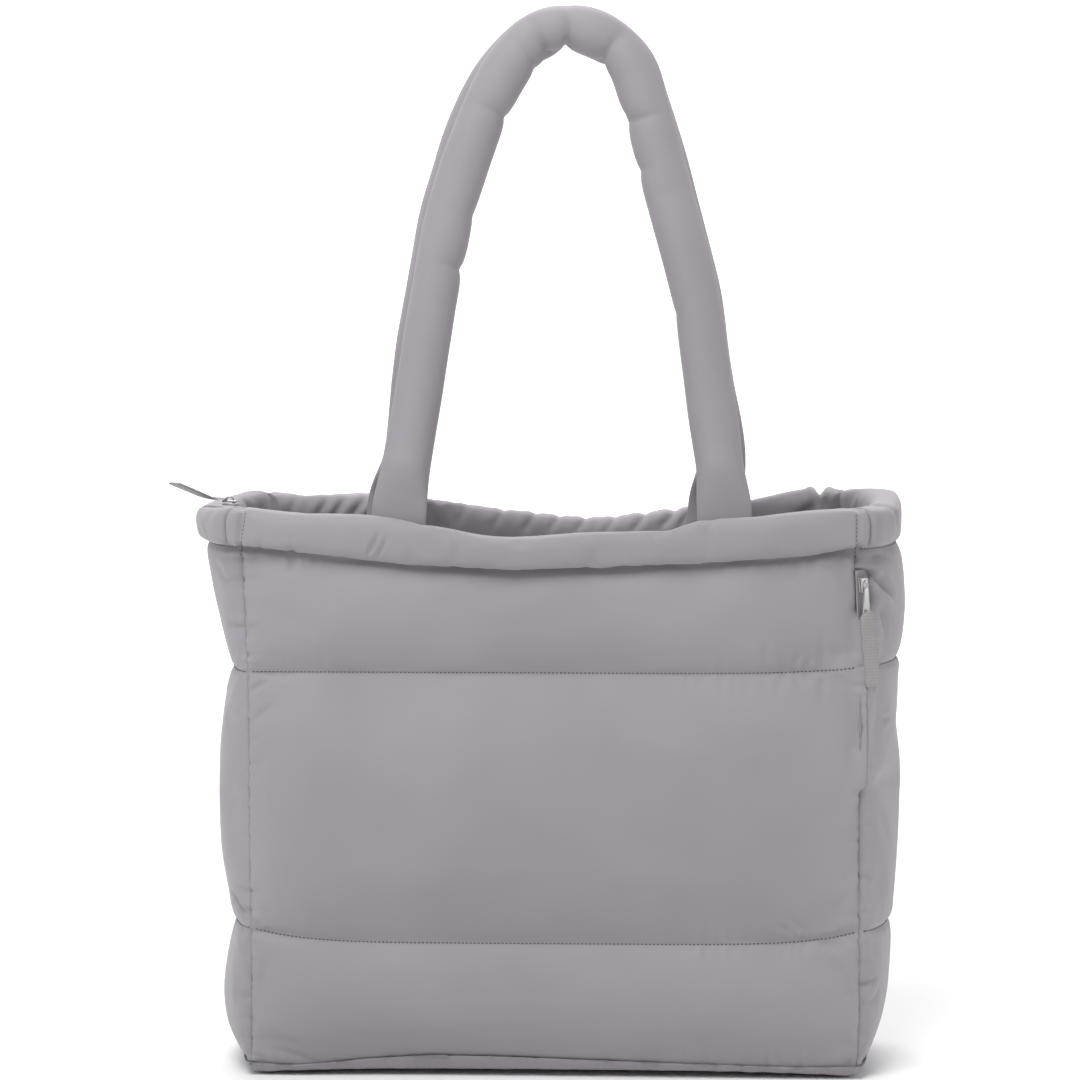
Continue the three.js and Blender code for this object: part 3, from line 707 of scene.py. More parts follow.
def build_wall(side, name):
    def outer(u, v):
        across, height, swell = wall_place(side, u, v)
        half = (BODY_WIDTH if ALONG_X[side] else BODY_DEPTH) / 2
        near = [abs(height - level) for level in levels_at(side, across)]
        distance = min(near + [(1 - abs(across)) * half])
        sink = SEAM_SINK * math.exp(-(distance / SEAM_SINK_REACH) ** 2)
        under_roll = ROLL_SHADOW_SINK[side] * math.exp(-(near[3] / ROLL_SHADOW_REACH) ** 2)
        sink = max(sink, under_roll * max(1 - across ** 4, 0))
        if over_pocket(side, across, height):
            sink = -POCKET_LIP * math.exp(-(distance / POCKET_LIP_REACH) ** 2)
        out = bow_at(side, across, height) + START_PUFF[side] * swell - sink
        return wall_point(side, across, out, height)

    def inner(u, v):
        across, height, swell = wall_place(side, u, v)
        out = bow_at(side, across, height) - SEAM_THICKNESS - WALL_PUFF_INSIDE * swell
        return wall_point(side, across, out, height)

    columns = WALL_COLUMNS[side]
    rows = len(WALL_ROWS) - 1
    piece = new_grid(name, columns, rows, outer)
    if OUTWARD[side] * (1 if ALONG_X[side] else -1) > 0:
        piece.data.flip_normals()

    def held(u, v):
        return round(v * rows) in SEAM_ROWS or min(u, 1 - u) < 0.5 / columns

    blow_up(piece, held, WALL_PRESSURE, WALL_SLACK, WALL_CAP)
    if ALONG_X[side]:
        draw_taut(piece, columns, rows)
    refine(piece)
    press_creases(piece, side, CREASES[side], True)
    close_pad(piece, inner)
    finish_pad(piece, name)
    return piece


walls = {
    "front": build_wall("front", "front_panel"),
    "back": build_wall("back", "back_panel"),
    "left": build_wall("left", "left_gusset"),
    "right": build_wall("right", "right_gusset"),
}


# Mouth roll
# A padded roll of the same nylon runs round the mouth in four lengths, sewn end to end at the
# corners and to the walls' top edges below. The back length is slack and wrinkled.
RIM_OUT = 9
RIM_IN = 11
MOUTH_SAG = 16
ROLL_ROWS = 24
ROLL_COLUMNS = {"front": 150, "back": 150, "left": 50, "right": 50}
ROLL_SLACK = {"front": 0.012, "back": 0.03, "left": 0.015, "right": 0.01}
ROLL_PRESSURE = 3.0
ROLL_CAP = 0.0025
ROLL_PINCH_REACH = 3.0
ROLL_PINCH = 0.08
ROLL_UNDERSIDE = 0.6
ROLL_INNER_FACE = 0.6
ROLL_CORNER_REACH = {"front": 30, "back": 30, "left": 12, "right": 12}
ROLL_CORNER_FACE = 0.6
ROLL_CORNER_TOP_FACE = 0.8
ROLL_MEETING = 0.9
ROLL_DROOP = 2.0
ROLL_FACE = {"front": 0.6, "back": 0.6, "left": 0.5, "right": 0.35}
ROLL_TOP_FACE = {"front": 0.85, "back": 0.85, "left": 0.75, "right": 0.6}
SIDE_TOPS = named_rows(("across", "left", "right"), [
    (-1, 0, 0),
    (-0.6, -0.18, 0.05),
    (0, -0.3, 0.28),
    (0.6, -0.18, 0.25),
    (1, 0, 0.1),
])
# The two upright creases of the front and back lengths are the seams at their ends.
ROLL_CREASES = {
    "front": named_rows(CREASE_COLUMNS, [
        ((-193, 316), (-189, 360), 1.6, 1.2, 0, 0.0),
        ((185.5, 316), (185.5, 360), 1.6, 1.2, 0, 0.0),
        ((-114, 324), (-105, 340), 1.8, 1.3),
        ((-107, 324), (-100, 338), 1.6, 1.3),
        ((-160, 322), (-159, 334), 1.0, 1.8),
        ((-181, 326), (-176, 338), 0.8, 1.8),
        ((-62, 316), (-56, 336), 0.8, 3.0),
        ((92, 336), (98, 350), 1.0, 3.0),
        ((20, 317), (32, 330), 0.6, 3.0),
    ]),
    "back": named_rows(CREASE_COLUMNS, [
        ((-187, 316), (-187, 360), 1.6, 1.2, 0, 0.0),
        ((189, 316), (189, 360), 1.6, 1.2, 0, 0.0),
        ((-176, 334), (-168, 352), 1.0, 2.0),
        ((-158, 334), (-147, 352), 1.8, 2.2),
        ((-147, 334), (-137, 351), 2.1, 2.0),
        ((-136, 334), (-124, 351), 2.4, 2.2),
        ((-126, 334), (-115, 350), 1.8, 1.8),
        ((-68, 332), (-57, 347), 1.0, 2.2),
        ((-44, 330), (-33, 346), 1.2, 2.2),
        ((-24, 328), (-12, 344), 1.5, 2.2),
        ((-8, 328), (4, 343), 1.2, 2.0),
        ((9, 327), (21, 342), 1.4, 2.2),
        ((28, 327), (40, 343), 1.2, 2.0),
        ((46, 328), (59, 345), 2.1, 2.2),
        ((64, 330), (78, 347), 2.4, 2.4),
        ((76, 331), (88, 347), 1.5, 1.8),
        ((166, 358), (174, 334), 5.0, 2.6, 0, 0.0),
        ((152, 338), (164, 346), 1.2, 3.0),
    ]),
    "left": named_rows(CREASE_COLUMNS, [
        ((-60, 332), (-50, 344), 1.0, 2.0),
        ((48, 334), (42, 350), 2.0, 2.2),
        ((34, 334), (26, 350), 1.6, 2.2),
    ]),
    "right": named_rows(CREASE_COLUMNS, [
        ((-50, 356), (-42, 340), 1.6, 2.6),
        ((46, 334), (38, 352), 1.6, 2.2),
    ]),
}


def roll_heights(side, across):
    """Heights of a roll's lower seam and of its top edge."""
    seam = levels_at(side, across)[3]
    if ALONG_X[side]:
        return seam, BODY_HEIGHT - MOUTH_SAG * read(MOUTH, "across", side + "_top", across)
    return seam, BODY_HEIGHT + MOUTH_SAG * read(SIDE_TOPS, "across", side, across)


def roll_point(side, u, v):
    """A point of a roll: u runs along it and v round its section, from the lower seam out."""
    across = 2 * u - 1
    seam, top = roll_heights(side, across)
    angle = math.pi * (2 * v - 0.5)
    outwards, upwards = math.cos(angle), math.sin(angle)
    half = (BODY_WIDTH if ALONG_X[side] else BODY_DEPTH) / 2
    corner = abs(across) ** ROLL_CORNER_REACH[side]
    face = ROLL_FACE[side] + (ROLL_CORNER_FACE - ROLL_FACE[side]) * corner
    top_face = ROLL_TOP_FACE[side] + (ROLL_CORNER_TOP_FACE - ROLL_TOP_FACE[side]) * corner
    pinch = 1 - ROLL_PINCH * math.exp(-((1 - abs(across)) * half / ROLL_PINCH_REACH) ** 2)
    if outwards > 0:
        out = RIM_OUT * signed_power(outwards, face)
    else:
        out = RIM_IN * signed_power(outwards, ROLL_INNER_FACE)
    middle = (seam + top) / 2
    squareness = top_face if upwards > 0 else ROLL_UNDERSIDE
    height = middle + signed_power(upwards, squareness) * (top - seam) / 2
    height += ROLL_DROOP * min(upwards, 0) * max(outwards, 0)
    point = wall_point(side, across, bow_at(side, across, middle) + pinch * out, height)
    meeting = ROLL_MEETING * signed_power(across, ROLL_CORNER_REACH[side]) * MM
    if ALONG_X[side]:
        point.x += meeting
    else:
        point.y += meeting
    return point


def weld_tube(piece):
    """Joins the two long edges of a rolled-up grid, fills its ends and turns its faces out."""
    def change(shape, place):
        bmesh.ops.remove_doubles(shape, verts=shape.verts[:], dist=1e-6)
        ends = [edge for edge in shape.edges if edge.is_boundary]
        bmesh.ops.holes_fill(shape, edges=ends, sides=0)
        bmesh.ops.recalc_face_normals(shape, faces=shape.faces[:])
    edit(piece, change)


def build_roll(side):
    columns = ROLL_COLUMNS[side]
    name = "rim_" + side
    piece = new_grid(name, columns, ROLL_ROWS, lambda u, v: roll_point(side, u, v))
    weld_tube(piece)

    def held(u, v):
        return min(v, 1 - v) < 0.5 / ROLL_ROWS or min(u, 1 - u) < 0.5 / columns

    blow_up(piece, held, ROLL_PRESSURE, ROLL_SLACK[side], ROLL_CAP)
    refine(piece)
    press_creases(piece, side, ROLL_CREASES[side], False)
    finish_pad(piece, name)
    return piece


rolls = {side: build_roll(side) for side in ALONG_X}


# Handles
# Two padded tubes of the same nylon, bent into arches that lean on each other at the top. Their
# ends are flattened and sewn to the inner face of the roll. Creases cross their inner sides.
TOTAL_HEIGHT = 661
HANDLE_DIAMETER = 30
HANDLE_SPACING = 199
TAB_WIDTH = 34
TAB_THICKNESS = 7
TAB_LENGTH = 20
HANDLE_CLEARANCE = 0.3
HANDLE_COLUMNS = 300
HANDLE_ROWS = 28
HANDLE_STEPS = 400
CURVE_STEPS = 24
TAB_EASE = 2.6
LEGS = named_rows(("rise", "front", "back", "lean"), [
    (-0.085, (0.96, 1.05), (1.08, 0.98), 0),
    (-0.02, (0.96, 1.05), (1.06, 1.0), 0),
    (0.08, (0.92, 1.02), (0.97, 1.045), 0.28),
    (0.235, (0.845, 0.955), (0.92, 0.97), 0.44),
    (0.44, (0.75, 0.865), (0.82, 0.88), 0.6),
    (0.64, (0.63, 0.71), (0.7, 0.73), 0.76),
    (0.84, (0.42, 0.55), (0.49, 0.56), 0.91),
    (0.925, (0.28, 0.46), (0.33, 0.46), 0.97),
    (0.985, (0.1, 0.26), (0.13, 0.26), 1),
])
APEX_OFFSET = {"front": 0.07, "back": 0.05}
# Creases: place along the handle (0 to 1), the angle round it where the crease is deepest (0 is
# the inner side, negative the front), how far round it reaches, its slant along the handle and
# its depth and width in millimetres.
HANDLE_CREASE_COLUMNS = ("place", "angle", "reach", "slant", "depth", "width")
HANDLE_CREASES = {
    "front": named_rows(HANDLE_CREASE_COLUMNS, [
        (0.2495, -0.2, 1.7, -1, 3.2, 3),
        (0.299, 0.0, 0.9, 0, 1.6, 4),
        (0.393, -0.3, 2.0, 0, 3.2, 3),
        (0.449, -0.3, 2.1, -4, 3.0, 3),
        (0.4735, -0.3, 2.4, 0, 5.5, 4),
        (0.4995, -0.2, 3.2, -2, 7.0, 4),
        (0.5455, -0.3, 2.5, 1, 5.5, 4),
        (0.6125, -0.3, 2.2, -3, 4.2, 3.5),
        (0.659, -0.1, 1.3, 0, 2.4, 3),
        (0.684, -1.8, 0.8, -2, 1.0, 3),
        (0.79, 0.0, 0.9, 0, 1.2, 4),
    ]),
    "back": named_rows(HANDLE_CREASE_COLUMNS, [
        (0.27, 0.2, 1.5, 1, 2.0, 3),
        (0.35, 0.2, 1.9, 2, 3.0, 3.5),
        (0.45, 0.2, 2.4, 0, 5.5, 4),
        (0.5, 0.1, 3.2, 1, 7.0, 4),
        (0.555, 0.2, 2.3, -1, 5.0, 4),
        (0.63, 0.3, 2.0, 2, 3.4, 3.5),
        (0.72, 0.2, 1.4, 0, 1.8, 3),
    ]),
}


def handle_points(side):
    rise = TOTAL_HEIGHT - HANDLE_DIAMETER / 2 - BODY_HEIGHT
    at_rim = BODY_DEPTH / 2 - RIM_IN - HANDLE_CLEARANCE - TAB_THICKNESS / 2
    at_top = HANDLE_DIAMETER / 2 + HANDLE_CLEARANCE

    def point(share, row):
        lean = at_rim + (at_top - at_rim) * row["lean"]
        x = share * HANDLE_SPACING / 2
        return Vector((x, OUTWARD[side] * lean, BODY_HEIGHT + rise * row["rise"])) * MM

    left = [point(-row[side][0], row) for row in LEGS]
    right = [point(row[side][1], row) for row in LEGS]
    return left + [point(APEX_OFFSET[side], {"rise": 1, "lean": 1})] + right[::-1]


def smooth_path(points, steps):
    """Evenly spaced points of a centripetal curve through the given points."""
    ends = [2 * points[0] - points[1]], [2 * points[-1] - points[-2]]
    through = ends[0] + points + ends[1]
    fine = []
    for a, b, c, d in zip(through, through[1:], through[2:], through[3:]):
        knots = [0.0]
        for start, end in ((a, b), (b, c), (c, d)):
            knots.append(knots[-1] + math.sqrt((end - start).length))
        for k in range(CURVE_STEPS):
            t = knots[1] + (knots[2] - knots[1]) * k / CURVE_STEPS

            def between(start, end, low, high):
                return start.lerp(end, (t - knots[low]) / (knots[high] - knots[low]))
            first, second, third = between(a, b, 0, 1), between(b, c, 1, 2), between(c, d, 2, 3)
            fine.append(between(between(first, second, 0, 2), between(second, third, 1, 3), 1, 2))
    fine.append(points[-1])
    lengths = [0.0]
    for start, end in zip(fine, fine[1:]):
        lengths.append(lengths[-1] + (end - start).length)
    spaced, k = [], 0
    for step in range(steps + 1):
        want = lengths[-1] * step / steps
        while k < len(lengths) - 2 and lengths[k + 1] < want:
            k += 1
        share = (want - lengths[k]) / (lengths[k + 1] - lengths[k])
        spaced.append(fine[k].lerp(fine[k + 1], share))
    return spaced, lengths[-1]


def path_frame(path, share, facing):
    """Middle point, inward and sideways directions of a bent tube at a share of its path."""
    steps = len(path) - 1
    at = min(max(share, 0), 1) * steps
    low = min(int(at), steps - 1)
    middle = path[low].lerp(path[low + 1], at - low)
    before, after = path[max(low - 1, 0)], path[min(low + 2, steps)]
    along = (after - before).normalized()
    inward = along.cross(facing).normalized()
    return middle, inward, along.cross(inward).normalized()


def handle_crease(side, share, angle, length):
    """How far creases press the handle in at a place, in millimetres."""
    total = 0.0
    for row in HANDLE_CREASES[side]:
        turned = angle - row["angle"]
        turned = abs((turned + math.pi) % (2 * math.pi) - math.pi)
        if turned >= row["reach"]:
            continue
        fade = math.cos(turned / row["reach"] * math.pi / 2) ** 0.8
        shift = row["slant"] * math.sin(angle)
        distance = abs((share - row["place"]) * length / MM - shift)
        sharp = math.exp(-(distance / (0.6 * row["width"])) ** 1.2)
        broad = math.exp(-(distance / (2.6 * row["width"])) ** 2)
        total += row["depth"] * fade * (0.6 * sharp + 0.4 * broad)
    return total


def build_handle(side):
    path, length = smooth_path(handle_points(side), HANDLE_STEPS)
    facing = Vector((0, -1, 0))

    def section(u, v):
        middle, inward, sideways = path_frame(path, u, facing)
        from_end = min(u, 1 - u) * length / MM
        tab = 1 - ease(from_end, TAB_LENGTH, TAB_LENGTH * TAB_EASE)
        width = HANDLE_DIAMETER + (TAB_WIDTH - HANDLE_DIAMETER) * tab
        depth = HANDLE_DIAMETER + (TAB_THICKNESS - HANDLE_DIAMETER) * tab
        angle = 2 * math.pi * (v - 0.5)
        lump = noise.noise(middle * 28 + sideways * 0.4 * math.sin(angle)) * 0.6
        loss = (handle_crease(side, u, angle, length) - lump * (1 - tab)) * 2
        across = inward * math.cos(angle) * (width - loss) / 2
        return middle + (across + sideways * math.sin(angle) * (depth - loss * (1 - tab)) / 2) * MM

    name = "handle_" + side
    piece = new_grid(name, HANDLE_COLUMNS, HANDLE_ROWS, section)
    weld_tube(piece)
    refine(piece)
    finish_pad(piece, name)


build_handle("front")
build_handle("back")


# Base
# The padded base lies flat on the ground and turns up at its edge to the seam with the walls.
BASE_THICKNESS = 10
BASE_COLUMNS = 96
BASE_ROWS = 36
BASE_EDGE = 13
BASE_LIFT = 3.5
BASE_RUFFLE = 1.2


def base_point(u, v, under):
    """A point of the base's underside or of its upper side."""
    x_share, y_share = 2 * u - 1, 2 * v - 1
    seam = BASE_SEAM_HEIGHT * read(MOUTH, "across", "base", x_share)
    side = "left" if x_share < 0 else "right"
    bow = bow_at(side, y_share, seam) * abs(x_share) ** MITRE_SHARPNESS
    x = x_share * BODY_WIDTH / 2 + math.copysign(bow, x_share) + sway_at(seam)
    y = y_share * BODY_DEPTH / 2
    inset = min((1 - abs(x_share)) * BODY_WIDTH / 2, (1 - abs(y_share)) * BODY_DEPTH / 2)
    turned = min(inset / BASE_EDGE, 1)
    if under:
        edge = 1 - math.sqrt(1 - (1 - turned) ** 2)
        lift = BASE_LIFT * (1 - x_share ** 4) * ease(abs(y_share), 0.3, 1)
        ruffle = noise.noise(Vector((x / 9, y / 30, 5))) * BASE_RUFFLE * (1 - turned)
        return Vector((x, y, lift + (seam - lift) * edge + max(ruffle, -lift))) * MM
    top = BASE_THICKNESS + (seam - BASE_THICKNESS) * (1 - turned)
    return Vector((x, y, top)) * MM


base = new_grid("base_panel", BASE_COLUMNS, BASE_ROWS, lambda u, v: base_point(u, v, True))
base.data.flip_normals()
close_pad(base, lambda u, v: base_point(u, v, False))
finish_pad(base, "base_panel")


# Stitches
# Thread sewn through the walls along their quilted lines, under the side lengths of the
# roll and across the ends of its front and back. Each stitch is a small mound of thread.
# Its near-black colour is painted shade of the needle holes and of the groove it lies in;
# the real thread is about the grey of the nylon.
STITCH = {"pitch": 2.45, "length": 1.6, "width": 0.75, "height": 0.7}
FINE_STITCH = {"pitch": 2.45, "length": 1.5, "width": 0.5, "height": 0.45}
SEWING_REACH = 0.02
STITCH_SUNK = 0.2
STITCH_WOBBLE = 0.12
LINE_STEPS = 120
STITCHED_SHARE = 0.985
ROLL_SEAM_DROP = 1.2
ROLL_SEAM_LOW = 323
ROLL_SEAM_RISE = 28
ROLL_SEAM_INSET = 1.5
ROLL_SEAMS = {"front": ((-193, -189), (185.5, 185.5)), "back": ((-187, -187), (189, 189))}


def speckled_material(name, roughness, dark, light, relief, **speckle):
    """A material whose colour and relief follow one fine noise."""
    material, tree, shader, place = new_material(name, roughness)
    speckles = add_node(tree, "ShaderNodeTexNoise", Vector=place, **speckle)
    colour_by(tree, shader, speckles.outputs["Fac"], dark, light)
    roughen(tree, shader, Strength=relief, Distance=0.0001, Height=speckles.outputs["Fac"])
    return material


# Painted shade: the thread is coloured near black to stand for the dark needle holes and groove
# round it.
thread_darkened_as_shade = speckled_material(
    "stitch_thread_painted_shade", 0.75, (0.035, 0.032, 0.038), (0.11, 0.1, 0.115), 0.4,
    Scale=2600.0, Detail=1.0,
)


def mound_mesh():
    """One stitch of unit length, width and height."""
    shape = bmesh.new()
    bmesh.ops.create_uvsphere(shape, u_segments=6, v_segments=4, radius=0.5)
    return mesh_from("mound", shape)


mound = mound_mesh()


def on_surface(piece, rule):
    """Moves a line onto a piece: each place goes back along its outward way to the skin."""
    def moved(t):
        place, out = rule(t)
        found, hit, normal, _ = piece.ray_cast(place + out * SEWING_REACH, -out)
        if not found:
            return place, out
        return hit + normal * STITCH["height"] * MM * STITCH_SUNK, normal
    return moved


def sew(name, rules, size=STITCH, material=thread_darkened_as_shade):
    """One mesh of mounds along lines: each rule(t), 0 to 1, gives a place and its outward way."""
    shape = bmesh.new()
    for rule in rules:
        points = [rule(k / LINE_STEPS) for k in range(LINE_STEPS + 1)]
        lengths = [0.0]
        for (start, _), (end, _) in zip(points, points[1:]):
            lengths.append(lengths[-1] + (end - start).length)
        count = int(lengths[-1] / (size["pitch"] * MM))
        k = 0
        for number in range(count):
            want = (number + 0.5) * lengths[-1] / count
            while lengths[k + 1] < want:
                k += 1
            share = (want - lengths[k]) / (lengths[k + 1] - lengths[k])
            middle = points[k][0].lerp(points[k + 1][0], share)
            along = (points[k + 1][0] - points[k][0]).normalized()
            out = points[k][1]
            aside = along.cross(out).normalized()
            wobble = noise.noise(middle * 900) * STITCH_WOBBLE
            along = (along + aside * wobble).normalized()
            turn = Matrix((along, aside, along.cross(aside))).transposed().to_4x4()
            sides = Matrix.Diagonal((size["length"], size["width"], size["height"], 1 / MM)) * MM
            stitch = mound.copy()
            stitch.transform(Matrix.Translation(middle) @ turn @ sides)
            shape.from_mesh(stitch)
            bpy.data.meshes.remove(stitch)
    mesh = mesh_from(name, shape)
    mesh.materials.append(material)
    mesh.shade_smooth()
    piece = add_object(name, mesh)
    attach(piece, "root")


def outward(side):
    if ALONG_X[side]:
        return Vector((0, OUTWARD[side], 0))
    return Vector((OUTWARD[side], 0, 0))


def seam_line(side, level, drop=0.0):
    """Along one of a wall's level seams, and a little below it by the drop."""
    def rule(t):
        across = (2 * t - 1) * STITCHED_SHARE
        height = levels_at(side, across)[level] - drop
        out = bow_at(side, across, height) - SEAM_SINK + STITCH["height"] / 2
        return wall_point(side, across, out, height), outward(side)
    return rule


def roll_end_line(side, bottom, top):
    """Across the outer face of the roll, along the seam between two of its lengths."""
    def rule(t):
        along = bottom + (top - bottom) * t
        height = ROLL_SEAM_LOW + ROLL_SEAM_RISE * t
        return Vector((along, OUTWARD[side] * BODY_DEPTH / 2, height)) * MM, outward(side)
    return rule


for side in ALONG_X:
    lines = [on_surface(walls[side], seam_line(side, level)) for level in (1, 2)]
    sew(side + "_quilt_stitches", lines)
for side in ROLL_SEAMS:
    lines = []
    for bottom, top in ROLL_SEAMS[side]:
        inner = ROLL_SEAM_INSET * math.copysign(1, bottom)
        rule = roll_end_line(side, bottom - inner, top - inner)
        lines.append(on_surface(rolls[side], rule))
    sew(side + "_roll_stitches", lines, FINE_STITCH)
lines = [
    on_surface(walls[side], seam_line(side, 3, ROLL_SEAM_DROP)) for side in ("left", "right")
]
sew("side_roll_seam_stitches", lines, FINE_STITCH)


# Zip tapes
# Woven polyester tape with the zip's coil along its edge: two lengths inside the mouth, and one
# in the valley of the front right corner seam.
TAPE_WIDTH = 12
TAPE_THICKNESS = 1.2


def woven_material(name, light, dark, pitch, roughness):
    """Coarse weave: ribs across and along, from Object coordinates."""
    material, tree, shader, place = new_material(name, roughness)
    parts = add_node(tree, "ShaderNodeSeparateXYZ", Vector=place)
    turn = 2 * math.pi / pitch
    slanted = maths(tree, "ADD", parts.outputs["X"], parts.outputs["Y"])
    ribs = maths(tree, "SINE", maths(tree, "MULTIPLY", parts.outputs["Z"], turn))
    cords = maths(tree, "SINE", maths(tree, "MULTIPLY", slanted, turn * 1.3))
    weave = maths(tree, "MULTIPLY", maths(tree, "ADD", ribs, cords), 0.25)
    height = maths(tree, "ADD", weave, 0.5)
    colour_by(tree, shader, height, dark, light)
    roughen(tree, shader, Strength=0.5, Distance=0.0003, Height=height)
    return material


def dress(node, material):
    """Gives a solid that stays in view a material."""
    for slot in bpy.data.objects[node].material_slots:
        slot.material = material


tape_weave = woven_material(
    "tape_weave", (0.25, 0.235, 0.255), (0.15, 0.14, 0.155), 0.0011, 0.8,
)
pocket_weave = woven_material(
    "pocket_weave", (0.31, 0.29, 0.315), (0.24, 0.225, 0.245), 0.0011, 0.8,
)
dress("top_zip_tape_front", tape_weave)
dress("top_zip_tape_back", tape_weave)
dress("pocket_zip_tape", pocket_weave)

COIL = {"pitch": 1.5, "length": 0.8, "width": 3.0, "height": 1.1}
MOUTH_COIL_START = 0.86
MOUTH_COIL_RUN = 1.64
CLEARANCE = 0.3
POCKET_ZIP_DROP = 38
POCKET_COIL_DROP = 30
POCKET_COIL_LENGTH = 94
CORNER_OUT = Vector((1, -1, 0)).normalized()


def corner_point(out, height):
    """A place out from the front right corner seam."""
    return Vector((BODY_WIDTH / 2 + sway_at(height), -BODY_DEPTH / 2, height)) + CORNER_OUT * out


def mouth_coil(side):
    def rule(t):
        across = MOUTH_COIL_START - MOUTH_COIL_RUN * t
        out = SEAM_THICKNESS + WALL_PUFF_INSIDE + CLEARANCE + TAPE_THICKNESS + COIL["height"] / 3
        height = levels_at(side, across)[3] - TAPE_WIDTH + COIL["width"] / 2
        return wall_point(side, across, -out, height), -outward(side)
    return rule


def pocket_coil(t):
    height = BODY_HEIGHT - POCKET_ZIP_DROP - POCKET_COIL_DROP - t * POCKET_COIL_LENGTH
    return corner_point(CLEARANCE + TAPE_THICKNESS + COIL["height"] / 4, height) * MM, CORNER_OUT


sew("top_zip_coil", [mouth_coil("front"), mouth_coil("back")], COIL, tape_weave)
sew("pocket_zip_coil", [pocket_coil], COIL, pocket_weave)


# Zip sliders and pulls
# Die-cast sliders with a satin finish, one parked on the left of the roll and one near the top
# of the pocket zip. Each carries a pull of ribbed webbing, folded double and sewn across.
SLIDER_LENGTH = 9
SLIDER_WIDTH = 6.5
SLIDER_THICKNESS = 3
SLIDER_BAIL = 2.6
WING_SHARE = 0.36
NOSE_PINCH = 0.62
SLIDER_BEVEL = 0.28
BAIL_RADIUS = 0.6
PULLER_LENGTH = 15
PULLER_HEIGHT = 4.3
PULL_WIDTH = 9
PULL_LENGTH = 44
PULL_THICKNESS = 1.6
LIP_DROP = 2.8
PULL_COLUMNS = 110
PULL_ROWS = 40
PULL_STEPS = 60
PULL_INSIDE = 0.1
PULL_INSIDE_DEPTH = 0.11
PULL_GAPE = 12
PULL_WALL = 0.8
PULL_TACK = 0.87
RIB_PITCH = 1.9

webbing = woven_material(
    "webbing", (0.35, 0.335, 0.34), (0.27, 0.258, 0.262), 0.0019, 0.72,
)
satin_metal = speckled_material(
    "satin_metal", 0.34, (0.42, 0.41, 0.42), (0.62, 0.61, 0.61), 0.15,
    Scale=900.0, Detail=3.0,
)
satin_metal.node_tree.nodes["Principled BSDF"].inputs["Metallic"].default_value = 0.85


def slider_shape(puller_length):
    """A slider lying in XY with its nose towards +X, in millimetres."""
    shape = bmesh.new()

    def block(middle, size, pinch=1.0):
        made = bmesh.ops.create_cube(shape, size=1)["verts"]
        for vertex in made:
            narrowing = pinch if vertex.co.x < 0 else 1.0
            vertex.co = Vector(middle) + Vector((
                vertex.co.x * size[0], vertex.co.y * size[1] * narrowing, vertex.co.z * size[2],
            ))

    wing = SLIDER_THICKNESS * WING_SHARE
    for height in (wing / 2, SLIDER_THICKNESS - wing / 2):
        block((0, 0, height), (SLIDER_LENGTH, SLIDER_WIDTH, wing), NOSE_PINCH)
    block((SLIDER_LENGTH * 0.3, 0, SLIDER_THICKNESS / 2), (2, 2, SLIDER_THICKNESS))
    if puller_length:
        middle = (-SLIDER_BAIL * 0.8 - puller_length / 2, 0, PULLER_HEIGHT)
        block(middle, (puller_length + 1, PULL_WIDTH * 0.4, 1.2))
        for vertex in shape.verts[-8:]:
            if vertex.co.x < middle[0]:
                vertex.co.y *= 1.6
    bmesh.ops.bevel(
        shape, geom=shape.edges[:], offset=SLIDER_BEVEL, segments=2, profile=0.5, affect="EDGES",
    )
    start = Matrix.Translation((-SLIDER_BAIL, 0, SLIDER_THICKNESS - 0.3))
    ring = bmesh.ops.create_circle(shape, segments=8, radius=BAIL_RADIUS, matrix=start)["verts"]
    edges = list({edge for vertex in ring for edge in vertex.link_edges})
    bmesh.ops.spin(
        shape, geom=ring + edges, cent=(0, 0, SLIDER_THICKNESS - 0.3), axis=(0, 1, 0),
        angle=math.pi, steps=12,
    )
    ends = [edge for edge in shape.edges if edge.is_boundary]
    bmesh.ops.holes_fill(shape, edges=ends, sides=0)
    bmesh.ops.recalc_face_normals(shape, faces=shape.faces[:])
    return shape


def add_slider(shape, node, matrix):
    """Places a shape in millimetres as the slider that stands for a solid."""
    bmesh.ops.transform(shape, matrix=Matrix.Scale(MM, 4) @ matrix, verts=shape.verts[:])
    piece = add_object(node, mesh_from(node, shape))
    stand_for(piece, node, satin_metal)


left_bow = bow_at("left", 0, BODY_HEIGHT - RIM_HEIGHT / 2)
left_roll_top = BODY_HEIGHT + MOUTH_SAG * read(SIDE_TOPS, "across", "left", 0)
left_roll_inner = -BODY_WIDTH / 2 - left_bow + RIM_IN + sway_at(BODY_HEIGHT)
top_slider = Vector((left_roll_inner - SLIDER_LENGTH * 0.35, 0, left_roll_top + CLEARANCE))
add_slider(slider_shape(0), "top_zip_slider", Matrix.Translation(top_slider))

pocket_top = BODY_HEIGHT - POCKET_ZIP_DROP - SLIDER_LENGTH
pocket_turn = Matrix((Vector((0, 0, 1)), Vector((-1, -1, 0)).normalized(), CORNER_OUT))
pocket_place = Matrix.Translation(corner_point(2 * CLEARANCE + TAPE_THICKNESS, pocket_top))
pocket_place = pocket_place @ pocket_turn.transposed().to_4x4()
add_slider(slider_shape(PULLER_LENGTH), "pocket_zip_slider", pocket_place)


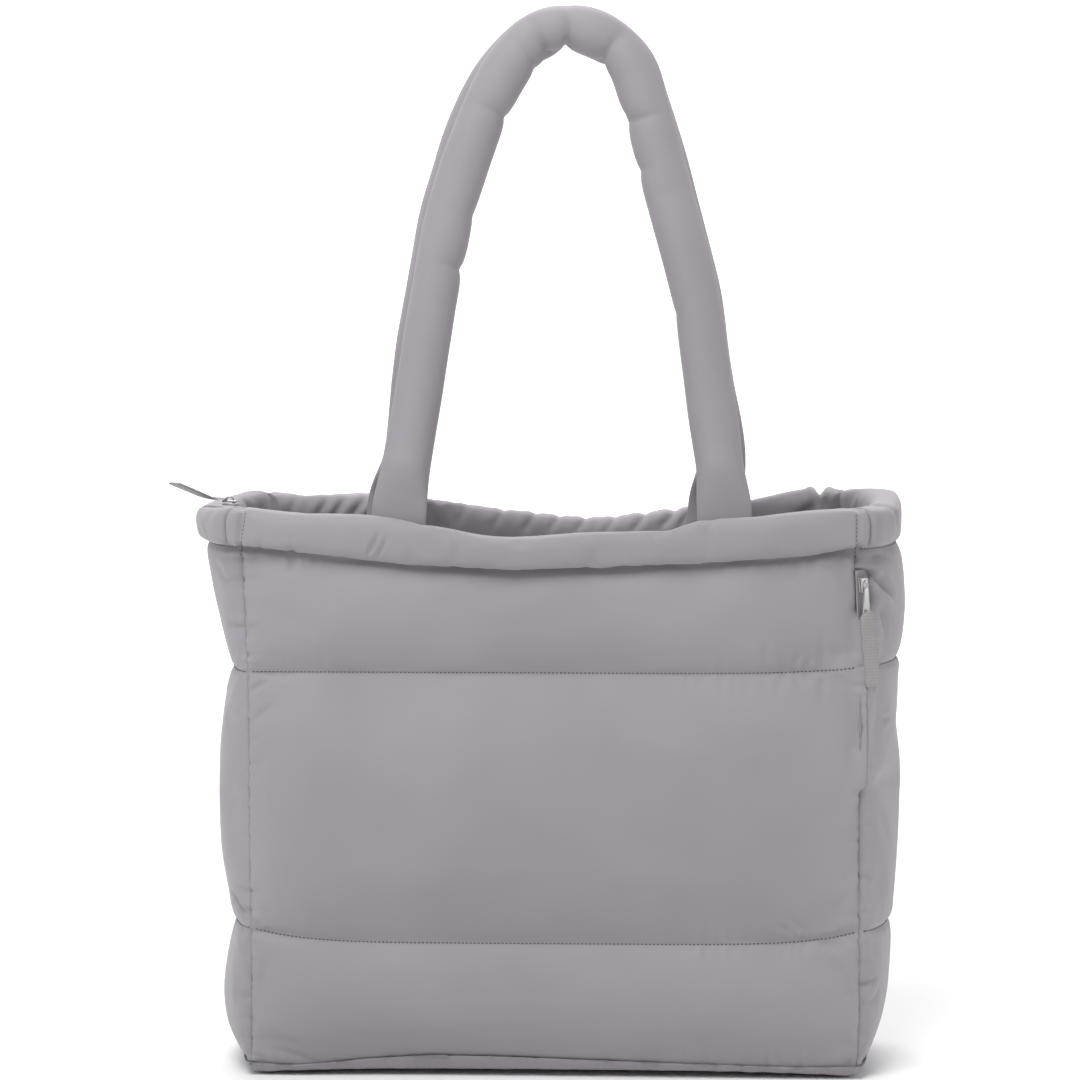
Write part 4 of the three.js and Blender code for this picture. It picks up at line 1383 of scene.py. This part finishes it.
def build_pull(node, points, facing, opening):
    """A flat tube of webbing along a path; its upper end gapes open round the slider's loop."""
    path, length = smooth_path([point * MM for point in points], PULL_STEPS)

    def section(u, v):
        within = u < PULL_INSIDE
        share = (u - PULL_INSIDE) / (1 - PULL_INSIDE)
        if within:
            share = (1 - u / PULL_INSIDE) * PULL_INSIDE_DEPTH
        middle, normal, sideways = path_frame(path, share, facing)
        run = share * length / MM
        angle = 2 * math.pi * v
        gape = 1 - ease(run, 0, PULL_GAPE)
        wide = 1.06 * PULL_WIDTH / 2 - 0.3 * gape
        thick = PULL_THICKNESS / 2 + opening * gape
        if within:
            wide, thick = wide - PULL_WALL, thick - PULL_WALL
        rounded = 0.35 + 0.65 * gape
        across = signed_power(math.cos(angle), rounded) * wide
        groove = 0.22 * math.exp(-((abs(across) - wide * 0.72) / 0.4) ** 2)
        tack = 0.25 * math.exp(-((run - PULL_LENGTH * PULL_TACK) / 0.5) ** 2)
        rib = 0.08 * math.sin(2 * math.pi * run / RIB_PITCH)
        through = signed_power(math.sin(angle), rounded) * (thick - groove - tack + rib)
        along = (path[-1] - path[0]).normalized()
        lip = along * LIP_DROP * math.sin(angle) * (1 - ease(run, 0, 8))
        return middle + (normal * across + sideways * through + lip) * MM

    piece = new_grid(node, PULL_COLUMNS, PULL_ROWS, section)
    weld_tube(piece)
    stand_for(piece, node, webbing)


pull_start = top_slider + Vector((
    -SLIDER_BAIL - 2 * CLEARANCE, 0, SLIDER_THICKNESS + PULL_THICKNESS / 2 + CLEARANCE,
))
top_pull_path = [
    pull_start + Vector((-leftwards, -forwards, up)) * PULL_LENGTH
    for leftwards, forwards, up in (
        (0, 0, 0), (0.19, 0.05, 0.01), (0.42, 0.29, 0.125), (0.64, 0.58, 0.255),
    )
]
build_pull("top_zip_pull", top_pull_path, Vector((0, 0, 1)), 0.3)

pull_hang = corner_point(
    2 * CLEARANCE + TAPE_THICKNESS + PULLER_HEIGHT,
    pocket_top - SLIDER_BAIL - PULLER_LENGTH - CLEARANCE,
)
pocket_pull_path = [
    pull_hang + Vector((right, back, -down)) * PULL_LENGTH
    for right, back, down in ((0, 0, 0), (0.03, 0.01, 0.35), (0.06, 0.03, 0.7), (0.09, 0.04, 1))
]
build_pull("pocket_zip_pull", pocket_pull_path, Vector((0.4, -1, 0)).normalized(), 2.3)
